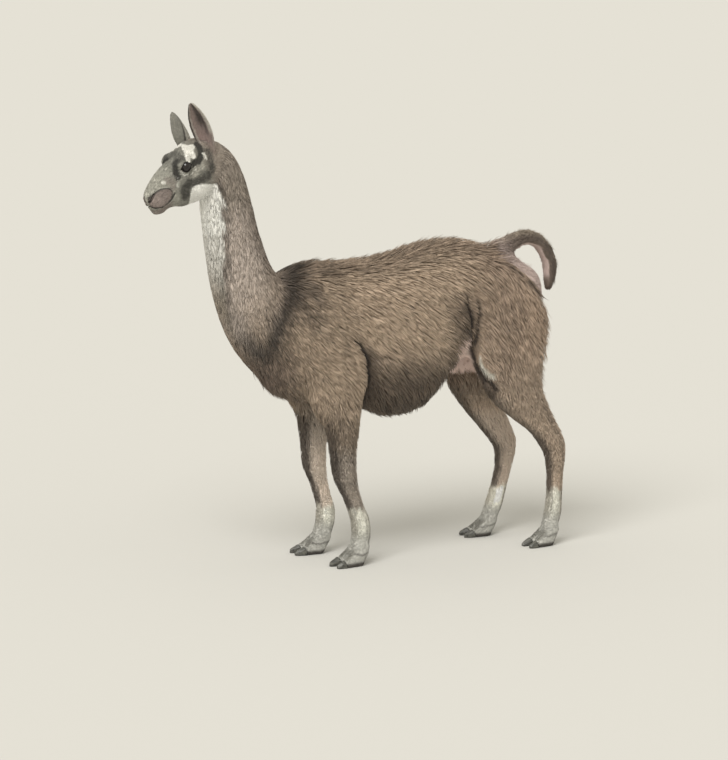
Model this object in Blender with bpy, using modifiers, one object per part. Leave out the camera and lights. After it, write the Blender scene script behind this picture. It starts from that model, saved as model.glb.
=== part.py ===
"""A standing male llama, life size, as a still museum model.

The whole animal is lofted and blended into one closed body, out to the tips of its coat,
and then parted with thin cuts into the pieces that a person would name.
It faces -Y, its left side is +X, and it stands on Z = 0. Lengths are in metres.
"""

import math

import bmesh
import bpy
from mathutils import Euler, Matrix, Vector

# Driving dimensions
withers_height = 1.155
croup_height = 1.192
foot_track = 0.125        # from the middle plane to the middle of a foot
head_length = 0.330       # from the poll to the front of the nose
head_yaw = math.radians(16)      # the head is turned to the animal's left
head_pitch = math.radians(24)    # and the nose is carried low
poll = Vector((0.005, -0.951, 1.663))
eye_place = Vector((0.049, -0.146, -0.024))      # in the head's own frame, on its left
mouth_slope = math.radians(-9.6)
ear_half_width = 0.033
ear_thickness = 0.005
eye_radius = 0.0225
tail_half_width = 0.036

fore_fetlock = -0.352     # y of the fetlocks
right_fore_lean = -0.040  # the right fore foot stands ahead of the left one
left_hind_fetlock = 0.448
right_hind_fetlock = 0.312
fetlock_height = 0.118
hind_foot_size = 0.93     # against a fore foot
foot_turn = {1: 10, -1: -2}   # degrees, the left feet turned out
toe_spread = 0.024        # from the middle of a foot to the middle of a toe
toe_reach = 0.132         # from the fetlock to the tip of a nail
nail_length = 0.048
nail_slope = 107          # degrees

part_gap = 0.0004         # width of the thin cuts between pieces
blend_voxel = 0.005       # grain of the blended body
soften_rounds = 140       # smoothing of the trunk
slender_softness = 0.04   # the share of it that the legs, head and tail take
foot_softness = 0.10
body_faces = 4240         # triangles left in the blended body
fine_strength = 0.0001    # how much smaller they are on the head and the feet

head_frame = Matrix.Translation(poll) @ Euler((head_pitch, 0, head_yaw), "XYZ").to_matrix().to_4x4()


# ---------------------------------------------------------------- scene and materials

def clear_scene():
    for old in list(bpy.data.objects):
        bpy.data.objects.remove(old, do_unlink=True)


def new_collection(name):
    collection = bpy.data.collections.new(name)
    bpy.context.scene.collection.children.link(collection)
    return collection


def new_material(name, color, roughness):
    material = bpy.data.materials.new(name)
    material.use_nodes = True
    shader = material.node_tree.nodes["Principled BSDF"]
    shader.inputs["Base Color"].default_value = (*color, 1.0)
    shader.inputs["Roughness"].default_value = roughness
    shader.inputs["Metallic"].default_value = 0.0
    return material


def link_mesh(name, bm, collection):
    bmesh.ops.recalc_face_normals(bm, faces=bm.faces)
    mesh = bpy.data.meshes.new(name)
    bm.to_mesh(mesh)
    bm.free()
    obj = bpy.data.objects.new(name, mesh)
    collection.objects.link(obj)
    return obj


def evaluated_copy(obj, name, collection):
    """A new object that holds obj's mesh with its modifiers applied."""
    bpy.context.view_layer.update()
    graph = bpy.context.evaluated_depsgraph_get()
    mesh = bpy.data.meshes.new_from_object(obj.evaluated_get(graph))
    mesh.transform(obj.matrix_world)
    copy = bpy.data.objects.new(name, mesh)
    collection.objects.link(copy)
    return copy


def joined(objects, name, collection):
    """One new object from all of the objects, which are removed."""
    bm = bmesh.new()
    for obj in objects:
        bm.from_mesh(obj.data)
        bpy.data.objects.remove(obj)
    return link_mesh(name, bm, collection)


# ---------------------------------------------------------------- lofts and ellipsoids

def smooth_between(values, t):
    """Catmull-Rom through a list of equal-length tuples, at t from 0 to len - 1."""
    last = len(values) - 1
    i = min(int(t), last - 1)
    u = t - i
    before = values[max(i - 1, 0)]
    after = values[min(i + 2, last)]
    mixed = []
    for a, b, c, d in zip(before, values[i], values[i + 1], after):
        mixed.append(0.5 * (2 * b + (c - a) * u + (2 * a - 5 * b + 4 * c - d) * u ** 2
                            + (3 * b - a - 3 * c + d) * u ** 3))
    return mixed


def loft(name, stations, collection, steps=4, sides=28, squareness=2.2, upright=False):
    """A closed tube through stations of (x, y, z, half width along X, half depth across the path).
    upright keeps every ring in a plane across Y."""
    bm = bmesh.new()
    rings = []
    count = (len(stations) - 1) * steps
    samples = [smooth_between(stations, k / steps) for k in range(count + 1)]
    centres = [Vector(s[:3]) for s in samples]
    for k, sample in enumerate(samples):
        tangent = (centres[min(k + 1, count)] - centres[max(k - 1, 0)]).normalized()
        if upright:
            tangent = Vector((0, 1, 0))
        side = (Vector((1, 0, 0)) - tangent * tangent.x).normalized()
        depth = tangent.cross(side)
        ring = []
        for j in range(sides):
            angle = 2 * math.pi * j / sides
            c, s = math.cos(angle), math.sin(angle)
            c = math.copysign(abs(c) ** (2 / squareness), c)
            s = math.copysign(abs(s) ** (2 / squareness), s)
            ring.append(bm.verts.new(centres[k] + side * (sample[3] * c) + depth * (sample[4] * s)))
        rings.append(ring)
    for low, high in zip(rings, rings[1:]):
        for j in range(sides):
            bm.faces.new((low[j], low[(j + 1) % sides], high[(j + 1) % sides], high[j]))
    bm.faces.new(rings[0])
    bm.faces.new(rings[-1])
    return link_mesh(name, bm, collection)


def ellipsoid(name, centre, radii, collection, tilt=0.0, spread=0.0, frame=None, segments=28):
    """An ellipsoid tilted about X and then spread about Z."""
    bm = bmesh.new()
    bmesh.ops.create_uvsphere(bm, u_segments=segments, v_segments=segments * 2 // 3, radius=1.0)
    turn = Euler((tilt, 0, spread), "XYZ").to_matrix().to_4x4()
    place = Matrix.Translation(centre) @ turn @ Matrix.Diagonal((*radii, 1.0))
    bmesh.ops.transform(bm, matrix=(frame or Matrix.Identity(4)) @ place, verts=bm.verts)
    return link_mesh(name, bm, collection)


def both_sides(name, centre, radii, collection, tilt=0.0, spread=0.0, frame=None):
    for side in (1, -1):
        ellipsoid(f"{name}{side}", (side * centre[0], centre[1], centre[2]), radii, collection,
                  tilt, side * spread, frame)


# ---------------------------------------------------------------- the masses of the body

def make_trunk(masses):
    # y, top, bottom, half width
    sections = [
        (-0.720, 1.018, 0.818, 0.060),
        (-0.68, 1.078, 0.758, 0.110),
        (-0.61, 1.133, 0.690, 0.148),
        (-0.50, withers_height, 0.608, 0.168),
        (-0.36, 1.146, 0.602, 0.182),
        (-0.20, 1.152, 0.536, 0.205),
        (-0.055, 1.184, 0.564, 0.207),
        (0.018, 1.192, 0.648, 0.196),
        (0.08, croup_height, 0.712, 0.184),
        (0.16, 1.182, 0.738, 0.176),
        (0.26, 1.140, 0.738, 0.164),
        (0.330, 1.118, 0.772, 0.154),
        (0.380, 1.072, 0.822, 0.126),
        (0.410, 1.010, 0.872, 0.080),
    ]
    stations = [(0.0, y, (top + bottom) / 2, width, (top - bottom) / 2) for y, top, bottom, width in sections]
    loft("trunk_mass", stations, masses, squareness=2.25, upright=True)
    both_sides("shoulder", (0.093, -0.475, 0.880), (0.087, 0.155, 0.260), masses, tilt=0.22)
    both_sides("upper_arm", (0.113, -0.440, 0.710), (0.072, 0.122, 0.180), masses, tilt=-0.10)
    both_sides("haunch", (0.092, 0.270, 0.903), (0.096, 0.165, 0.230), masses, tilt=0.35)
    both_sides("pin_bone", (0.080, 0.322, 0.985), (0.078, 0.105, 0.108), masses)
    ellipsoid("brisket", (0.0, -0.575, 0.775), (0.120, 0.140, 0.145), masses, tilt=-0.5)


def make_neck(masses):
    # from inside the chest up to the poll
    stations = [
        (0.0, -0.570, 0.818, 0.125, 0.170),
        (0.0, -0.694, 0.938, 0.120, 0.157),
        (0.0, -0.777, 1.088, 0.100, 0.129),
        (0.0, -0.821, 1.238, 0.084, 0.112),
        (0.0, -0.846, 1.368, 0.076, 0.104),
        (0.002, -0.868, 1.468, 0.071, 0.098),
        (0.004, -0.895, 1.548, 0.066, 0.088),
        (0.006, -0.925, 1.603, 0.058, 0.066),
        (0.006, -0.940, 1.628, 0.048, 0.050),
    ]
    loft("neck_mass", stations, masses, squareness=2.1)


def make_head(masses):
    # y, top, bottom, half width, in the head's own frame with the nose at -Y
    sections = [
        (0.040, -0.030, -0.130, 0.040),
        (0.010, 0.000, -0.165, 0.058),
        (-0.040, 0.024, -0.190, 0.068),
        (-0.085, 0.030, -0.200, 0.071),
        (-0.125, 0.022, -0.200, 0.067),
        (-0.165, 0.011, -0.188, 0.058),
        (-0.205, 0.007, -0.170, 0.049),
        (-0.245, -0.005, -0.157, 0.043),
        (-0.275, -0.020, -0.150, 0.041),
        (-0.302, -0.038, -0.146, 0.037),
        (-0.320, -0.058, -0.138, 0.030),
        (-head_length, -0.082, -0.120, 0.017),
    ]
    stations = [(0.0, y, (top + bottom) / 2, width, (top - bottom) / 2) for y, top, bottom, width in sections]
    skull = loft("skull_mass", stations, masses, squareness=2.3)
    skull.data.transform(head_frame)
    both_sides("brow", (0.042, -0.142, -0.011), (0.026, 0.038, 0.025), masses, frame=head_frame)
    both_sides("cheek", (0.042, -0.100, -0.125), (0.030, 0.068, 0.056), masses, frame=head_frame)
    both_sides("upper_lip", (0.023, -0.280, -0.092), (0.022, 0.044, 0.028), masses,
               tilt=0.15, frame=head_frame)
    both_sides("nostril_wing", (0.018, -0.306, -0.072), (0.014, 0.022, 0.016), masses, frame=head_frame)
    ellipsoid("chin", (0.0, -0.288, -0.132), (0.027, 0.038, 0.022), masses, frame=head_frame)


def make_foreleg(masses, side, lean):
    """lean moves the foot of the leg along Y, and less so its upper parts."""
    x = side * foot_track
    # z, y, half width, half depth
    sections = [
        (0.718, -0.432, 0.060, 0.085),
        (0.598, -0.429, 0.058, 0.076),
        (0.478, -0.427, 0.047, 0.057),
        (0.403, -0.424, 0.041, 0.050),
        (0.343, -0.416, 0.040, 0.046),
        (0.283, -0.396, 0.029, 0.036),
        (0.218, -0.372, 0.027, 0.033),
        (0.163, -0.353, 0.030, 0.038),
        (0.108, -0.350, 0.031, 0.038),
        (0.063, -0.362, 0.030, 0.034),
    ]
    top, foot = sections[0][0], sections[-1][0]
    stations = []
    for z, y, width, depth in sections:
        stations.append((x, y + lean * ((top - z) / (top - foot)) ** 2.5, z, width, depth))
    loft(f"foreleg_mass{side}", stations, masses)
    make_foot(masses, f"fore{side}", x, fore_fetlock + lean, 1.0, foot_turn[side])


def make_hindleg(masses, side, sections, foot_y):
    x = side * foot_track
    stations = [(side * out, y, z, width, depth) for z, y, out, width, depth in sections]
    loft(f"hindleg_mass{side}", stations, masses)
    make_foot(masses, f"hind{side}", x, foot_y, hind_foot_size, foot_turn[side])


def make_foot(masses, name, x, y, size, turn):
    """Two toes side by side, each with its nail in front. y is the place of the fetlock."""
    # forward of the fetlock, height, half width, half depth, distance from the middle of the foot
    sections = [
        (0.008, 0.084, 0.022, 0.026, 0.016),
        (-0.012, 0.050, 0.023, 0.033, 0.019),
        (-0.038, 0.027, 0.023, 0.034, 0.021),
        (-0.062, 0.016, 0.021, 0.028, 0.024),
        (-0.085, 0.010, 0.018, 0.023, 0.026),
        (-0.108, 0.006, 0.013, 0.018, 0.026),
        (-0.126, 0.001, 0.008, 0.012, 0.024),
    ]
    turned = Matrix.Translation((x, y, 0)) @ Matrix.Rotation(math.radians(turn), 4, "Z")
    place = turned @ Matrix.Scale(size, 4)
    for toe in (1, -1):
        stations = []
        for ahead, z, width, depth, out in sections:
            stations.append((*place @ Vector((toe * out, ahead, z)), width * size, depth * size))
        loft(f"toe_mass_{name}{toe}", stations, masses, sides=20)
        ellipsoid(f"pad_mass_{name}{toe}", (toe * 0.021, -0.030, 0.012), (0.024, 0.031, 0.026), masses,
                  frame=place)


def make_tail(masses):
    # carried up and over in an arch, clear of the rump
    stations = [
        (0.0, 0.190, 1.096, 0.042, 0.044),
        (0.0, 0.262, 1.120, 0.040, 0.043),
        (0.0, 0.320, 1.145, tail_half_width, 0.039),
        (0.0, 0.360, 1.162, tail_half_width, 0.035),
        (0.0, 0.393, 1.169, tail_half_width, 0.031),
        (0.0, 0.432, 1.162, tail_half_width, 0.030),
        (0.0, 0.464, 1.137, tail_half_width, 0.029),
        (0.0, 0.487, 1.101, tail_half_width, 0.028),
        (0.0, 0.501, 1.062, tail_half_width, 0.027),
        (0.0, 0.503, 1.021, 0.033, 0.025),
        (0.0, 0.498, 0.985, 0.026, 0.019),
        (0.0, 0.496, 0.957, 0.012, 0.012),
    ]
    loft("tail_mass", stations, masses)


def blend(masses, bodies):
    """All the masses as one closed surface, smoothed where they meet and thinned to body_faces."""
    body = joined(list(masses.objects), "body", bodies)
    remesh = body.modifiers.new("Blend", "REMESH")
    remesh.mode = "VOXEL"
    remesh.voxel_size = blend_voxel
    blended = evaluated_copy(body, "blended", bodies)
    bpy.data.objects.remove(body)

    # the trunk is softened most, and the slender parts least
    broad = blended.vertex_groups.new(name="broad")
    for v in blended.data.vertices:
        above_legs = (v.co.z - 0.50) / 0.20
        behind_head = (v.co.y + 0.98) / 0.20
        before_tail = (0.46 - v.co.y) / 0.12
        share = max(0.0, min(1.0, above_legs, behind_head, before_tail))
        least = foot_softness if v.co.z < 0.13 else slender_softness
        broad.add([v.index], least + (1 - least) * share, "REPLACE")
    smooth = blended.modifiers.new("Soften", "SMOOTH")
    smooth.factor = 0.5
    smooth.iterations = soften_rounds
    smooth.vertex_group = "broad"
    # the head and the feet keep smaller triangles
    muzzle = head_frame @ Vector((0, -0.20, -0.09))
    fine = blended.vertex_groups.new(name="fine")
    for v in blended.data.vertices:
        in_head = (v.co - muzzle).length < 0.17
        in_foot = v.co.z < 0.11
        fine.add([v.index], 0.8 if in_head else 0.9 if in_foot else 1.0, "REPLACE")
    thin = blended.modifiers.new("Thin", "DECIMATE")
    thin.ratio = body_faces / (2 * len(blended.data.polygons))
    thin.vertex_group = "fine"
    thin.vertex_group_factor = fine_strength
    body = evaluated_copy(blended, "body", bodies)
    bpy.data.objects.remove(blended)
    return body


# ---------------------------------------------------------------- mouth, sockets and soles

def cutter_box(centre, half_sizes, tilt, cutters, frame=None):
    """A box tilted about X."""
    bm = bmesh.new()
    bmesh.ops.create_cube(bm, size=2.0)
    place = Matrix.Translation(centre) @ Matrix.Rotation(tilt, 4, "X") @ Matrix.Diagonal((*half_sizes, 1.0))
    bmesh.ops.transform(bm, matrix=(frame or Matrix.Identity(4)) @ place, verts=bm.verts)
    return link_mesh("box_cutter", bm, cutters)


def subtract(obj, cutter, name, collection):
    """A new object, obj without cutter. Both old ones are removed."""
    boolean = obj.modifiers.new("Cut", "BOOLEAN")
    boolean.operation = "DIFFERENCE"
    boolean.solver = "EXACT"
    boolean.object = cutter
    left = evaluated_copy(obj, name, collection)
    bpy.data.objects.remove(obj)
    bpy.data.objects.remove(cutter)
    return left


def grown(obj, collection):
    """A copy of obj that is larger by the gap between pieces."""
    displace = obj.modifiers.new("Grow", "DISPLACE")
    displace.direction = "NORMAL"
    displace.mid_level = 0.0
    displace.strength = part_gap
    copy = evaluated_copy(obj, "grown", collection)
    obj.modifiers.remove(displace)
    return copy


def cut_features(body, bodies, cutters):
    below_floor = cutter_box((0, 0, -0.1), (1, 2, 0.1), 0, cutters)
    mouth = cutter_box((0, -0.292, -0.100), (0.10, 0.058, 0.001), mouth_slope, cutters, head_frame)
    features = [below_floor, mouth]
    for side in (1, -1):
        socket = ellipsoid("socket", (side * eye_place[0], eye_place[1], eye_place[2]),
                           [eye_radius + part_gap] * 3, cutters, frame=head_frame, segments=18)
        nostril = ellipsoid("nostril", (side * 0.020, -0.332, -0.064), (0.003, 0.010, 0.010), cutters,
                            tilt=-0.5, spread=side * 0.5, frame=head_frame)
        features += [socket, nostril]
    return subtract(body, joined(features, "feature_cutters", cutters), "body", bodies)


# ---------------------------------------------------------------- eyes and ears

def make_eye(name, side, parts):
    place = (side * eye_place[0], eye_place[1], eye_place[2])
    return ellipsoid(name, place, [eye_radius] * 3, parts, frame=head_frame, segments=18)


def make_ear(name, root, tip, opening, bow, parts):
    """A cupped leaf from its root in the head to its tip. opening is the way that the cup faces,
    and bow is how far its middle bends away from there."""
    axis = (tip - root).normalized()
    facing = (opening - axis * opening.dot(axis)).normalized()
    across = axis.cross(facing)
    # share of the length, half width, half angle of the cup in degrees
    shapes = [
        (0.0, 0.62, 105),
        (0.25, 0.90, 95),
        (0.50, 1.0, 78),
        (0.72, 0.84, 64),
        (0.90, 0.46, 54),
        (1.0, 0.10, 50),
    ]
    along_steps, across_steps = 9, 7
    bm = bmesh.new()
    layers = []
    for layer in (0.0, ear_thickness):
        grid = []
        for i in range(along_steps + 1):
            share, width, half_angle = smooth_between(shapes, i / along_steps * (len(shapes) - 1))
            middle = root.lerp(tip, share) - facing * (bow * math.sin(math.pi * share))
            half_angle = math.radians(half_angle)
            radius = ear_half_width * width / math.sin(min(half_angle, math.pi / 2))
            wall = layer * (1 - 0.5 * share)
            row = []
            for j in range(across_steps + 1):
                turn = half_angle * (2 * j / across_steps - 1)
                out = (radius + wall) * math.sin(turn)
                back = (radius + wall) * math.cos(turn) - radius * math.cos(half_angle)
                row.append(bm.verts.new(middle + across * out - facing * back))
            grid.append(row)
        layers.append(grid)
    inner, outer = layers
    for i in range(along_steps):
        for j in range(across_steps):
            bm.faces.new((inner[i][j], inner[i + 1][j], inner[i + 1][j + 1], inner[i][j + 1]))
            bm.faces.new((outer[i][j], outer[i][j + 1], outer[i + 1][j + 1], outer[i + 1][j]))
        for j in (0, across_steps):
            bm.faces.new((inner[i][j], outer[i][j], outer[i + 1][j], inner[i + 1][j]))
    for j in range(across_steps):
        for i in (0, along_steps):
            bm.faces.new((inner[i][j], inner[i][j + 1], outer[i][j + 1], outer[i][j]))
    bmesh.ops.transform(bm, matrix=head_frame, verts=bm.verts)
    return link_mesh(name, bm, parts)


# ---------------------------------------------------------------- thin cuts and names

def middle_of(obj):
    corners = [v.co for v in obj.data.vertices]
    return sum(corners, Vector()) / len(corners)


def part_body(body, cuts, pieces, parts, cutters):
    """Part the body with thin slabs, and name each piece by the place that it holds."""
    slabs = []
    for centre, half_width, half_length, tilt in cuts:
        half_sizes = (half_width, half_length, part_gap / 2)
        slabs.append(cutter_box(centre, half_sizes, math.radians(tilt), cutters))
    body = subtract(body, joined(slabs, "slab_cutters", cutters), "body", parts)
    bpy.ops.object.select_all(action="DESELECT")
    bpy.context.view_layer.objects.active = body
    body.select_set(True)
    bpy.ops.mesh.separate(type="LOOSE")
    found = list(bpy.context.selected_objects)
    for name, place in pieces.items():
        nearest = min(found, key=lambda obj: (middle_of(obj) - Vector(place)).length)
        nearest.name = name
        nearest.data.name = name
        found.remove(nearest)


def leg_parting(kind, side_name, x, joint, fetlock_y, size):
    """The cuts across one leg below the trunk, and the pieces that they leave."""
    joint_y, joint_z, upper_y, upper_z = joint
    nail_y = fetlock_y - (toe_reach - nail_length) * size
    cuts = [
        ((x, joint_y, joint_z), 0.07, 0.09, 0),
        ((x, fetlock_y, fetlock_height), 0.06, 0.075, 0),
        ((x, nail_y, 0.02), 0.06, 0.05, nail_slope),
    ]
    leg = f"{kind}leg_{side_name}"
    pieces = {
        f"{leg}_upper": (x, upper_y, upper_z),
        f"{leg}_lower": (x, (joint_y + fetlock_y) / 2, (joint_z + fetlock_height) / 2),
        f"{leg}_foot": (x, fetlock_y - 0.02, 0.04),
    }
    outward = math.copysign(toe_spread * size, x)
    for toe, way in (("outer", 1), ("inner", -1)):
        pieces[f"nail_{kind}_{side_name}_{toe}"] = (x + way * outward, nail_y - 0.02, 0.015)
    return cuts, pieces


def paint(parts):
    """One material for each kind of piece, chosen by a word at the start or the end of its name."""
    kinds = {
        "trunk": new_material("brown_fleece", (0.275, 0.213, 0.152), 0.90),
        "neck": new_material("neck_fleece", (0.284, 0.242, 0.195), 0.90),
        "head": new_material("face_coat", (0.262, 0.250, 0.208), 0.85),
        "ear": new_material("ear_coat", (0.130, 0.105, 0.088), 0.85),
        "eye": new_material("eye", (0.012, 0.009, 0.008), 0.08),
        "tail": new_material("tail_fleece", (0.150, 0.110, 0.080), 0.90),
        "upper": new_material("leg_coat", (0.190, 0.150, 0.110), 0.85),
        "lower": new_material("shank_coat", (0.330, 0.300, 0.250), 0.85),
        "foot": new_material("foot_pad", (0.380, 0.365, 0.310), 0.85),
        "nail": new_material("nail_horn", (0.060, 0.056, 0.050), 0.45),
    }
    for obj in parts.objects:
        kind = next(word for word in kinds if obj.name.startswith(word) or obj.name.endswith(word))
        obj.data.materials.clear()
        obj.data.materials.append(kinds[kind])


def stand_at_origin(parts):
    """Move every piece so that the middle of the animal's outline, seen from above, is the origin."""
    corners = [v.co for obj in parts.objects for v in obj.data.vertices]
    middle_x = (min(c.x for c in corners) + max(c.x for c in corners)) / 2
    middle_y = (min(c.y for c in corners) + max(c.y for c in corners)) / 2
    for obj in parts.objects:
        obj.data.transform(Matrix.Translation((-middle_x, -middle_y, 0)))


# ---------------------------------------------------------------- the animal

clear_scene()
masses = new_collection("masses")
llama = new_collection("llama")
cutters = new_collection("cutters")
cutters.hide_render = True

make_trunk(masses)
make_neck(masses)
make_head(masses)
for side, lean in ((1, 0.0), (-1, right_fore_lean)):
    make_foreleg(masses, side, lean)
# z, y, out, half width, half depth: the left hind leg stands behind the right one
left_hind = [
    (0.878, 0.262, 0.110, 0.075, 0.145),
    (0.758, 0.268, 0.122, 0.070, 0.158),
    (0.658, 0.286, 0.125, 0.062, 0.126),
    (0.568, 0.335, 0.126, 0.053, 0.088),
    (0.478, 0.402, 0.126, 0.044, 0.056),
    (0.408, 0.447, 0.125, 0.038, 0.051),
    (0.358, 0.465, 0.125, 0.034, 0.043),
    (0.283, 0.466, 0.125, 0.028, 0.034),
    (0.208, 0.464, 0.125, 0.026, 0.032),
    (0.148, 0.460, 0.125, 0.028, 0.034),
    (0.103, 0.452, 0.125, 0.029, 0.034),
    (0.063, 0.440, 0.125, 0.028, 0.030),
]
right_hind = [
    (0.878, 0.235, 0.110, 0.075, 0.140),
    (0.758, 0.230, 0.118, 0.074, 0.146),
    (0.658, 0.229, 0.122, 0.064, 0.116),
    (0.568, 0.254, 0.125, 0.054, 0.087),
    (0.478, 0.302, 0.126, 0.045, 0.063),
    (0.398, 0.354, 0.125, 0.039, 0.053),
    (0.343, 0.378, 0.125, 0.034, 0.045),
    (0.268, 0.371, 0.125, 0.028, 0.035),
    (0.198, 0.354, 0.125, 0.026, 0.032),
    (0.143, 0.338, 0.125, 0.028, 0.034),
    (0.103, 0.324, 0.125, 0.029, 0.034),
    (0.063, 0.305, 0.125, 0.028, 0.030),
]
make_hindleg(masses, 1, left_hind, left_hind_fetlock)
make_hindleg(masses, -1, right_hind, right_hind_fetlock)
make_tail(masses)
body = blend(masses, llama)
body = cut_features(body, llama, cutters)

# root, tip and opening in the head's own frame: the right ear is turned out and forward
ears = {
    "ear_left": ((0.066, -0.030, -0.040), (0.038, -0.020, 0.172), (0.80, -0.60, 0.0), 0.008),
    "ear_right": ((-0.070, -0.038, -0.040), (-0.027, -0.075, 0.154), (-0.97, -0.25, 0.0), -0.004),
}
for name, (root, tip, opening, bow) in ears.items():
    ear = make_ear("whole_ear", Vector(root), Vector(tip), Vector(opening), bow, llama)
    subtract(ear, grown(body, cutters), name, llama)
for name, side in (("eye_left", 1), ("eye_right", -1)):
    make_eye(name, side, llama)

cuts = [
    # centre, half width, half length, tilt in degrees
    ((0.0, -0.915, 1.530), 0.13, 0.17, 65),     # behind the jaw and the ears
    ((0.0, -0.750, 1.015), 0.17, 0.21, 50),     # from the withers to the chest
    ((0.0, 0.368, 1.160), 0.06, 0.058, -84),    # at the root of the tail
    ((0.0, 0.488, 1.075), 0.06, 0.07, 0),       # below the bend of the tail
]
pieces = {
    "head": (0.03, -1.08, 1.57),
    "neck": (0.0, -0.83, 1.28),
    "trunk": (0.0, -0.15, 0.87),
    "tail_base": (0.0, 0.41, 1.158),
    "tail_tip": (0.0, 0.49, 1.01),
}
for x in (foot_track, -foot_track):
    cuts.append(((x, -0.440, 0.562), 0.09, 0.11, 0))
    cuts.append(((x, 0.255, 0.680), 0.10, 0.23, 20))
legs = [
    # kind, side, x, (y and z of the joint, y and z of the middle of the upper piece), fetlock, size
    ("fore", "left", foot_track, (-0.415, 0.315, -0.43, 0.44), fore_fetlock, 1.0),
    ("fore", "right", -foot_track, (-0.435, 0.315, -0.44, 0.44), fore_fetlock + right_fore_lean, 1.0),
    ("hind", "left", foot_track, (0.465, 0.335, 0.37, 0.52), left_hind_fetlock, hind_foot_size),
    ("hind", "right", -foot_track, (0.375, 0.325, 0.29, 0.52), right_hind_fetlock, hind_foot_size),
]
for leg in legs:
    leg_cuts, leg_pieces = leg_parting(*leg)
    cuts += leg_cuts
    pieces.update(leg_pieces)
part_body(body, cuts, pieces, llama, cutters)
paint(llama)
stand_at_origin(llama)
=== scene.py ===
import itertools
import math
import bmesh
import bpy
import numpy as np
from mathutils import Euler, Matrix, Vector
from mathutils.bvhtree import BVHTree


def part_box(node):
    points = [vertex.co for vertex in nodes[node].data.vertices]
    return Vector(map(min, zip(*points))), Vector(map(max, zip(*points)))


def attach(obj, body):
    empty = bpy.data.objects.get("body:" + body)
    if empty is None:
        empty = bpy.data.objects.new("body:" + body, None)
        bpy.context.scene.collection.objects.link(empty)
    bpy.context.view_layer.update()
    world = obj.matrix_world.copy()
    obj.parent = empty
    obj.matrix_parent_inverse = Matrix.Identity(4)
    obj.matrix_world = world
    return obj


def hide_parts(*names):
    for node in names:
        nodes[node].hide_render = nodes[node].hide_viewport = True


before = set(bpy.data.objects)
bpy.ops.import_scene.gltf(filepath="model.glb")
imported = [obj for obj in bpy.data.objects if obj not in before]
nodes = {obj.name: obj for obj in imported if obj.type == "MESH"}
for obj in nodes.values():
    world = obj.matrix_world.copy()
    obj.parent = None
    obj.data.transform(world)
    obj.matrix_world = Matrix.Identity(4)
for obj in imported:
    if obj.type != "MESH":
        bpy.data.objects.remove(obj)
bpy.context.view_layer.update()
bpy.ops.object.select_all(action="DESELECT")


# small helpers for objects

def chooseOnly(piece):
    bpy.ops.object.select_all(action="DESELECT")
    piece.select_set(True)
    bpy.context.view_layer.objects.active = piece


def addModifier(piece, kind, **values):
    modifier = piece.modifiers.new(kind.title(), kind)
    for name, value in values.items():
        setattr(modifier, name, value)
    return modifier


def applyModifiers(piece):
    chooseOnly(piece)
    for modifier in list(piece.modifiers):
        bpy.ops.object.modifier_apply(modifier=modifier.name)


def applyPlace(piece):
    chooseOnly(piece)
    bpy.ops.object.transform_apply(location=True, rotation=True, scale=True)


def turnOutwards(piece):
    chooseOnly(piece)
    bpy.ops.object.mode_set(mode="EDIT")
    bpy.ops.mesh.select_all(action="SELECT")
    bpy.ops.mesh.normals_make_consistent(inside=False)
    bpy.ops.object.mode_set(mode="OBJECT")


def newPiece(name, mesh):
    piece = bpy.data.objects.new(name, mesh)
    bpy.context.scene.collection.objects.link(piece)
    return piece


def mergedCopy(name, wanted):
    bm = bmesh.new()
    for node in wanted:
        bm.from_mesh(nodes[node].data)
    bmesh.ops.remove_doubles(bm, verts=bm.verts, dist=0.00001)
    mesh = bpy.data.meshes.new(name)
    bm.to_mesh(mesh)
    bm.free()
    mesh.materials.clear()
    return newPiece(name, mesh)


def middleOf(node):
    low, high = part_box(node)
    return (low + high) / 2


def nodesWith(*words):
    return [name for name in sorted(nodes) if any(word in name for word in words)]


# small helpers for arrays of points

def smoothStep(low, high, value):
    t = np.clip((value - low) / (high - low), 0, 1)
    return t * t * (3 - 2 * t)


def between(a, b, share):
    return a * (1 - share) + b * share


# Colours or vectors a and b, mixed by a share for each point
def mixTone(a, b, share):
    return a * (1 - share[:, None]) + b * share[:, None]


def unit(vectors):
    return vectors / np.maximum(np.linalg.norm(vectors, axis=-1, keepdims=True), 1e-9)


def flatOn(vectors, normals):
    return unit(vectors - normals * np.sum(vectors * normals, axis=1, keepdims=True))


def lineDistance(points, line):
    best = np.full(len(points), 9.0)
    line = np.array(line, float)
    for a, b in zip(line, line[1:]):
        along = np.clip((points - a) @ (b - a) / ((b - a) @ (b - a)), 0, 1)
        best = np.minimum(best, np.linalg.norm(points - (a + along[:, None] * (b - a)), axis=1))
    return best


# 1 at the middle, and less away from it, like a bell of that width
def hump(value, middle, width):
    return np.exp(-((value - middle) / width) ** 2)


# Smooth noise from 0 to 1, with lumps of that size
def grain(points, size, seed=0):
    place = points / size + seed * 17.31
    cell = np.floor(place).astype(np.int64)
    inCell = place - cell
    inCell = inCell * inCell * (3 - 2 * inCell)
    total = np.zeros(len(points))
    for i, j, k in itertools.product((0, 1), repeat=3):
        n = (cell[:, 0] + i) * 73856093 ^ (cell[:, 1] + j) * 19349663 ^ (cell[:, 2] + k) * 83492791
        n = n & 0x7fffffff
        n = ((n ^ (n >> 13)) * 1274126177) & 0x7fffffff
        n = ((n ^ (n >> 16)) * 668265263) & 0x7fffffff
        weight = 1.0
        for axis, step in enumerate((i, j, k)):
            weight = weight * (inCell[:, axis] if step else 1 - inCell[:, axis])
        total += weight * (n / 0x7fffffff)
    return total


# The same noise, from -0.5 to 0.5
def ripple(points, size, seed):
    return grain(points, size, seed) - 0.5


# A colour as a painter names it, made linear
def tone(red, green, blue):
    c = np.array([red, green, blue], float) / 255
    return np.where(c <= 0.04045, c / 12.92, ((c + 0.055) / 1.055) ** 2.4)


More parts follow.
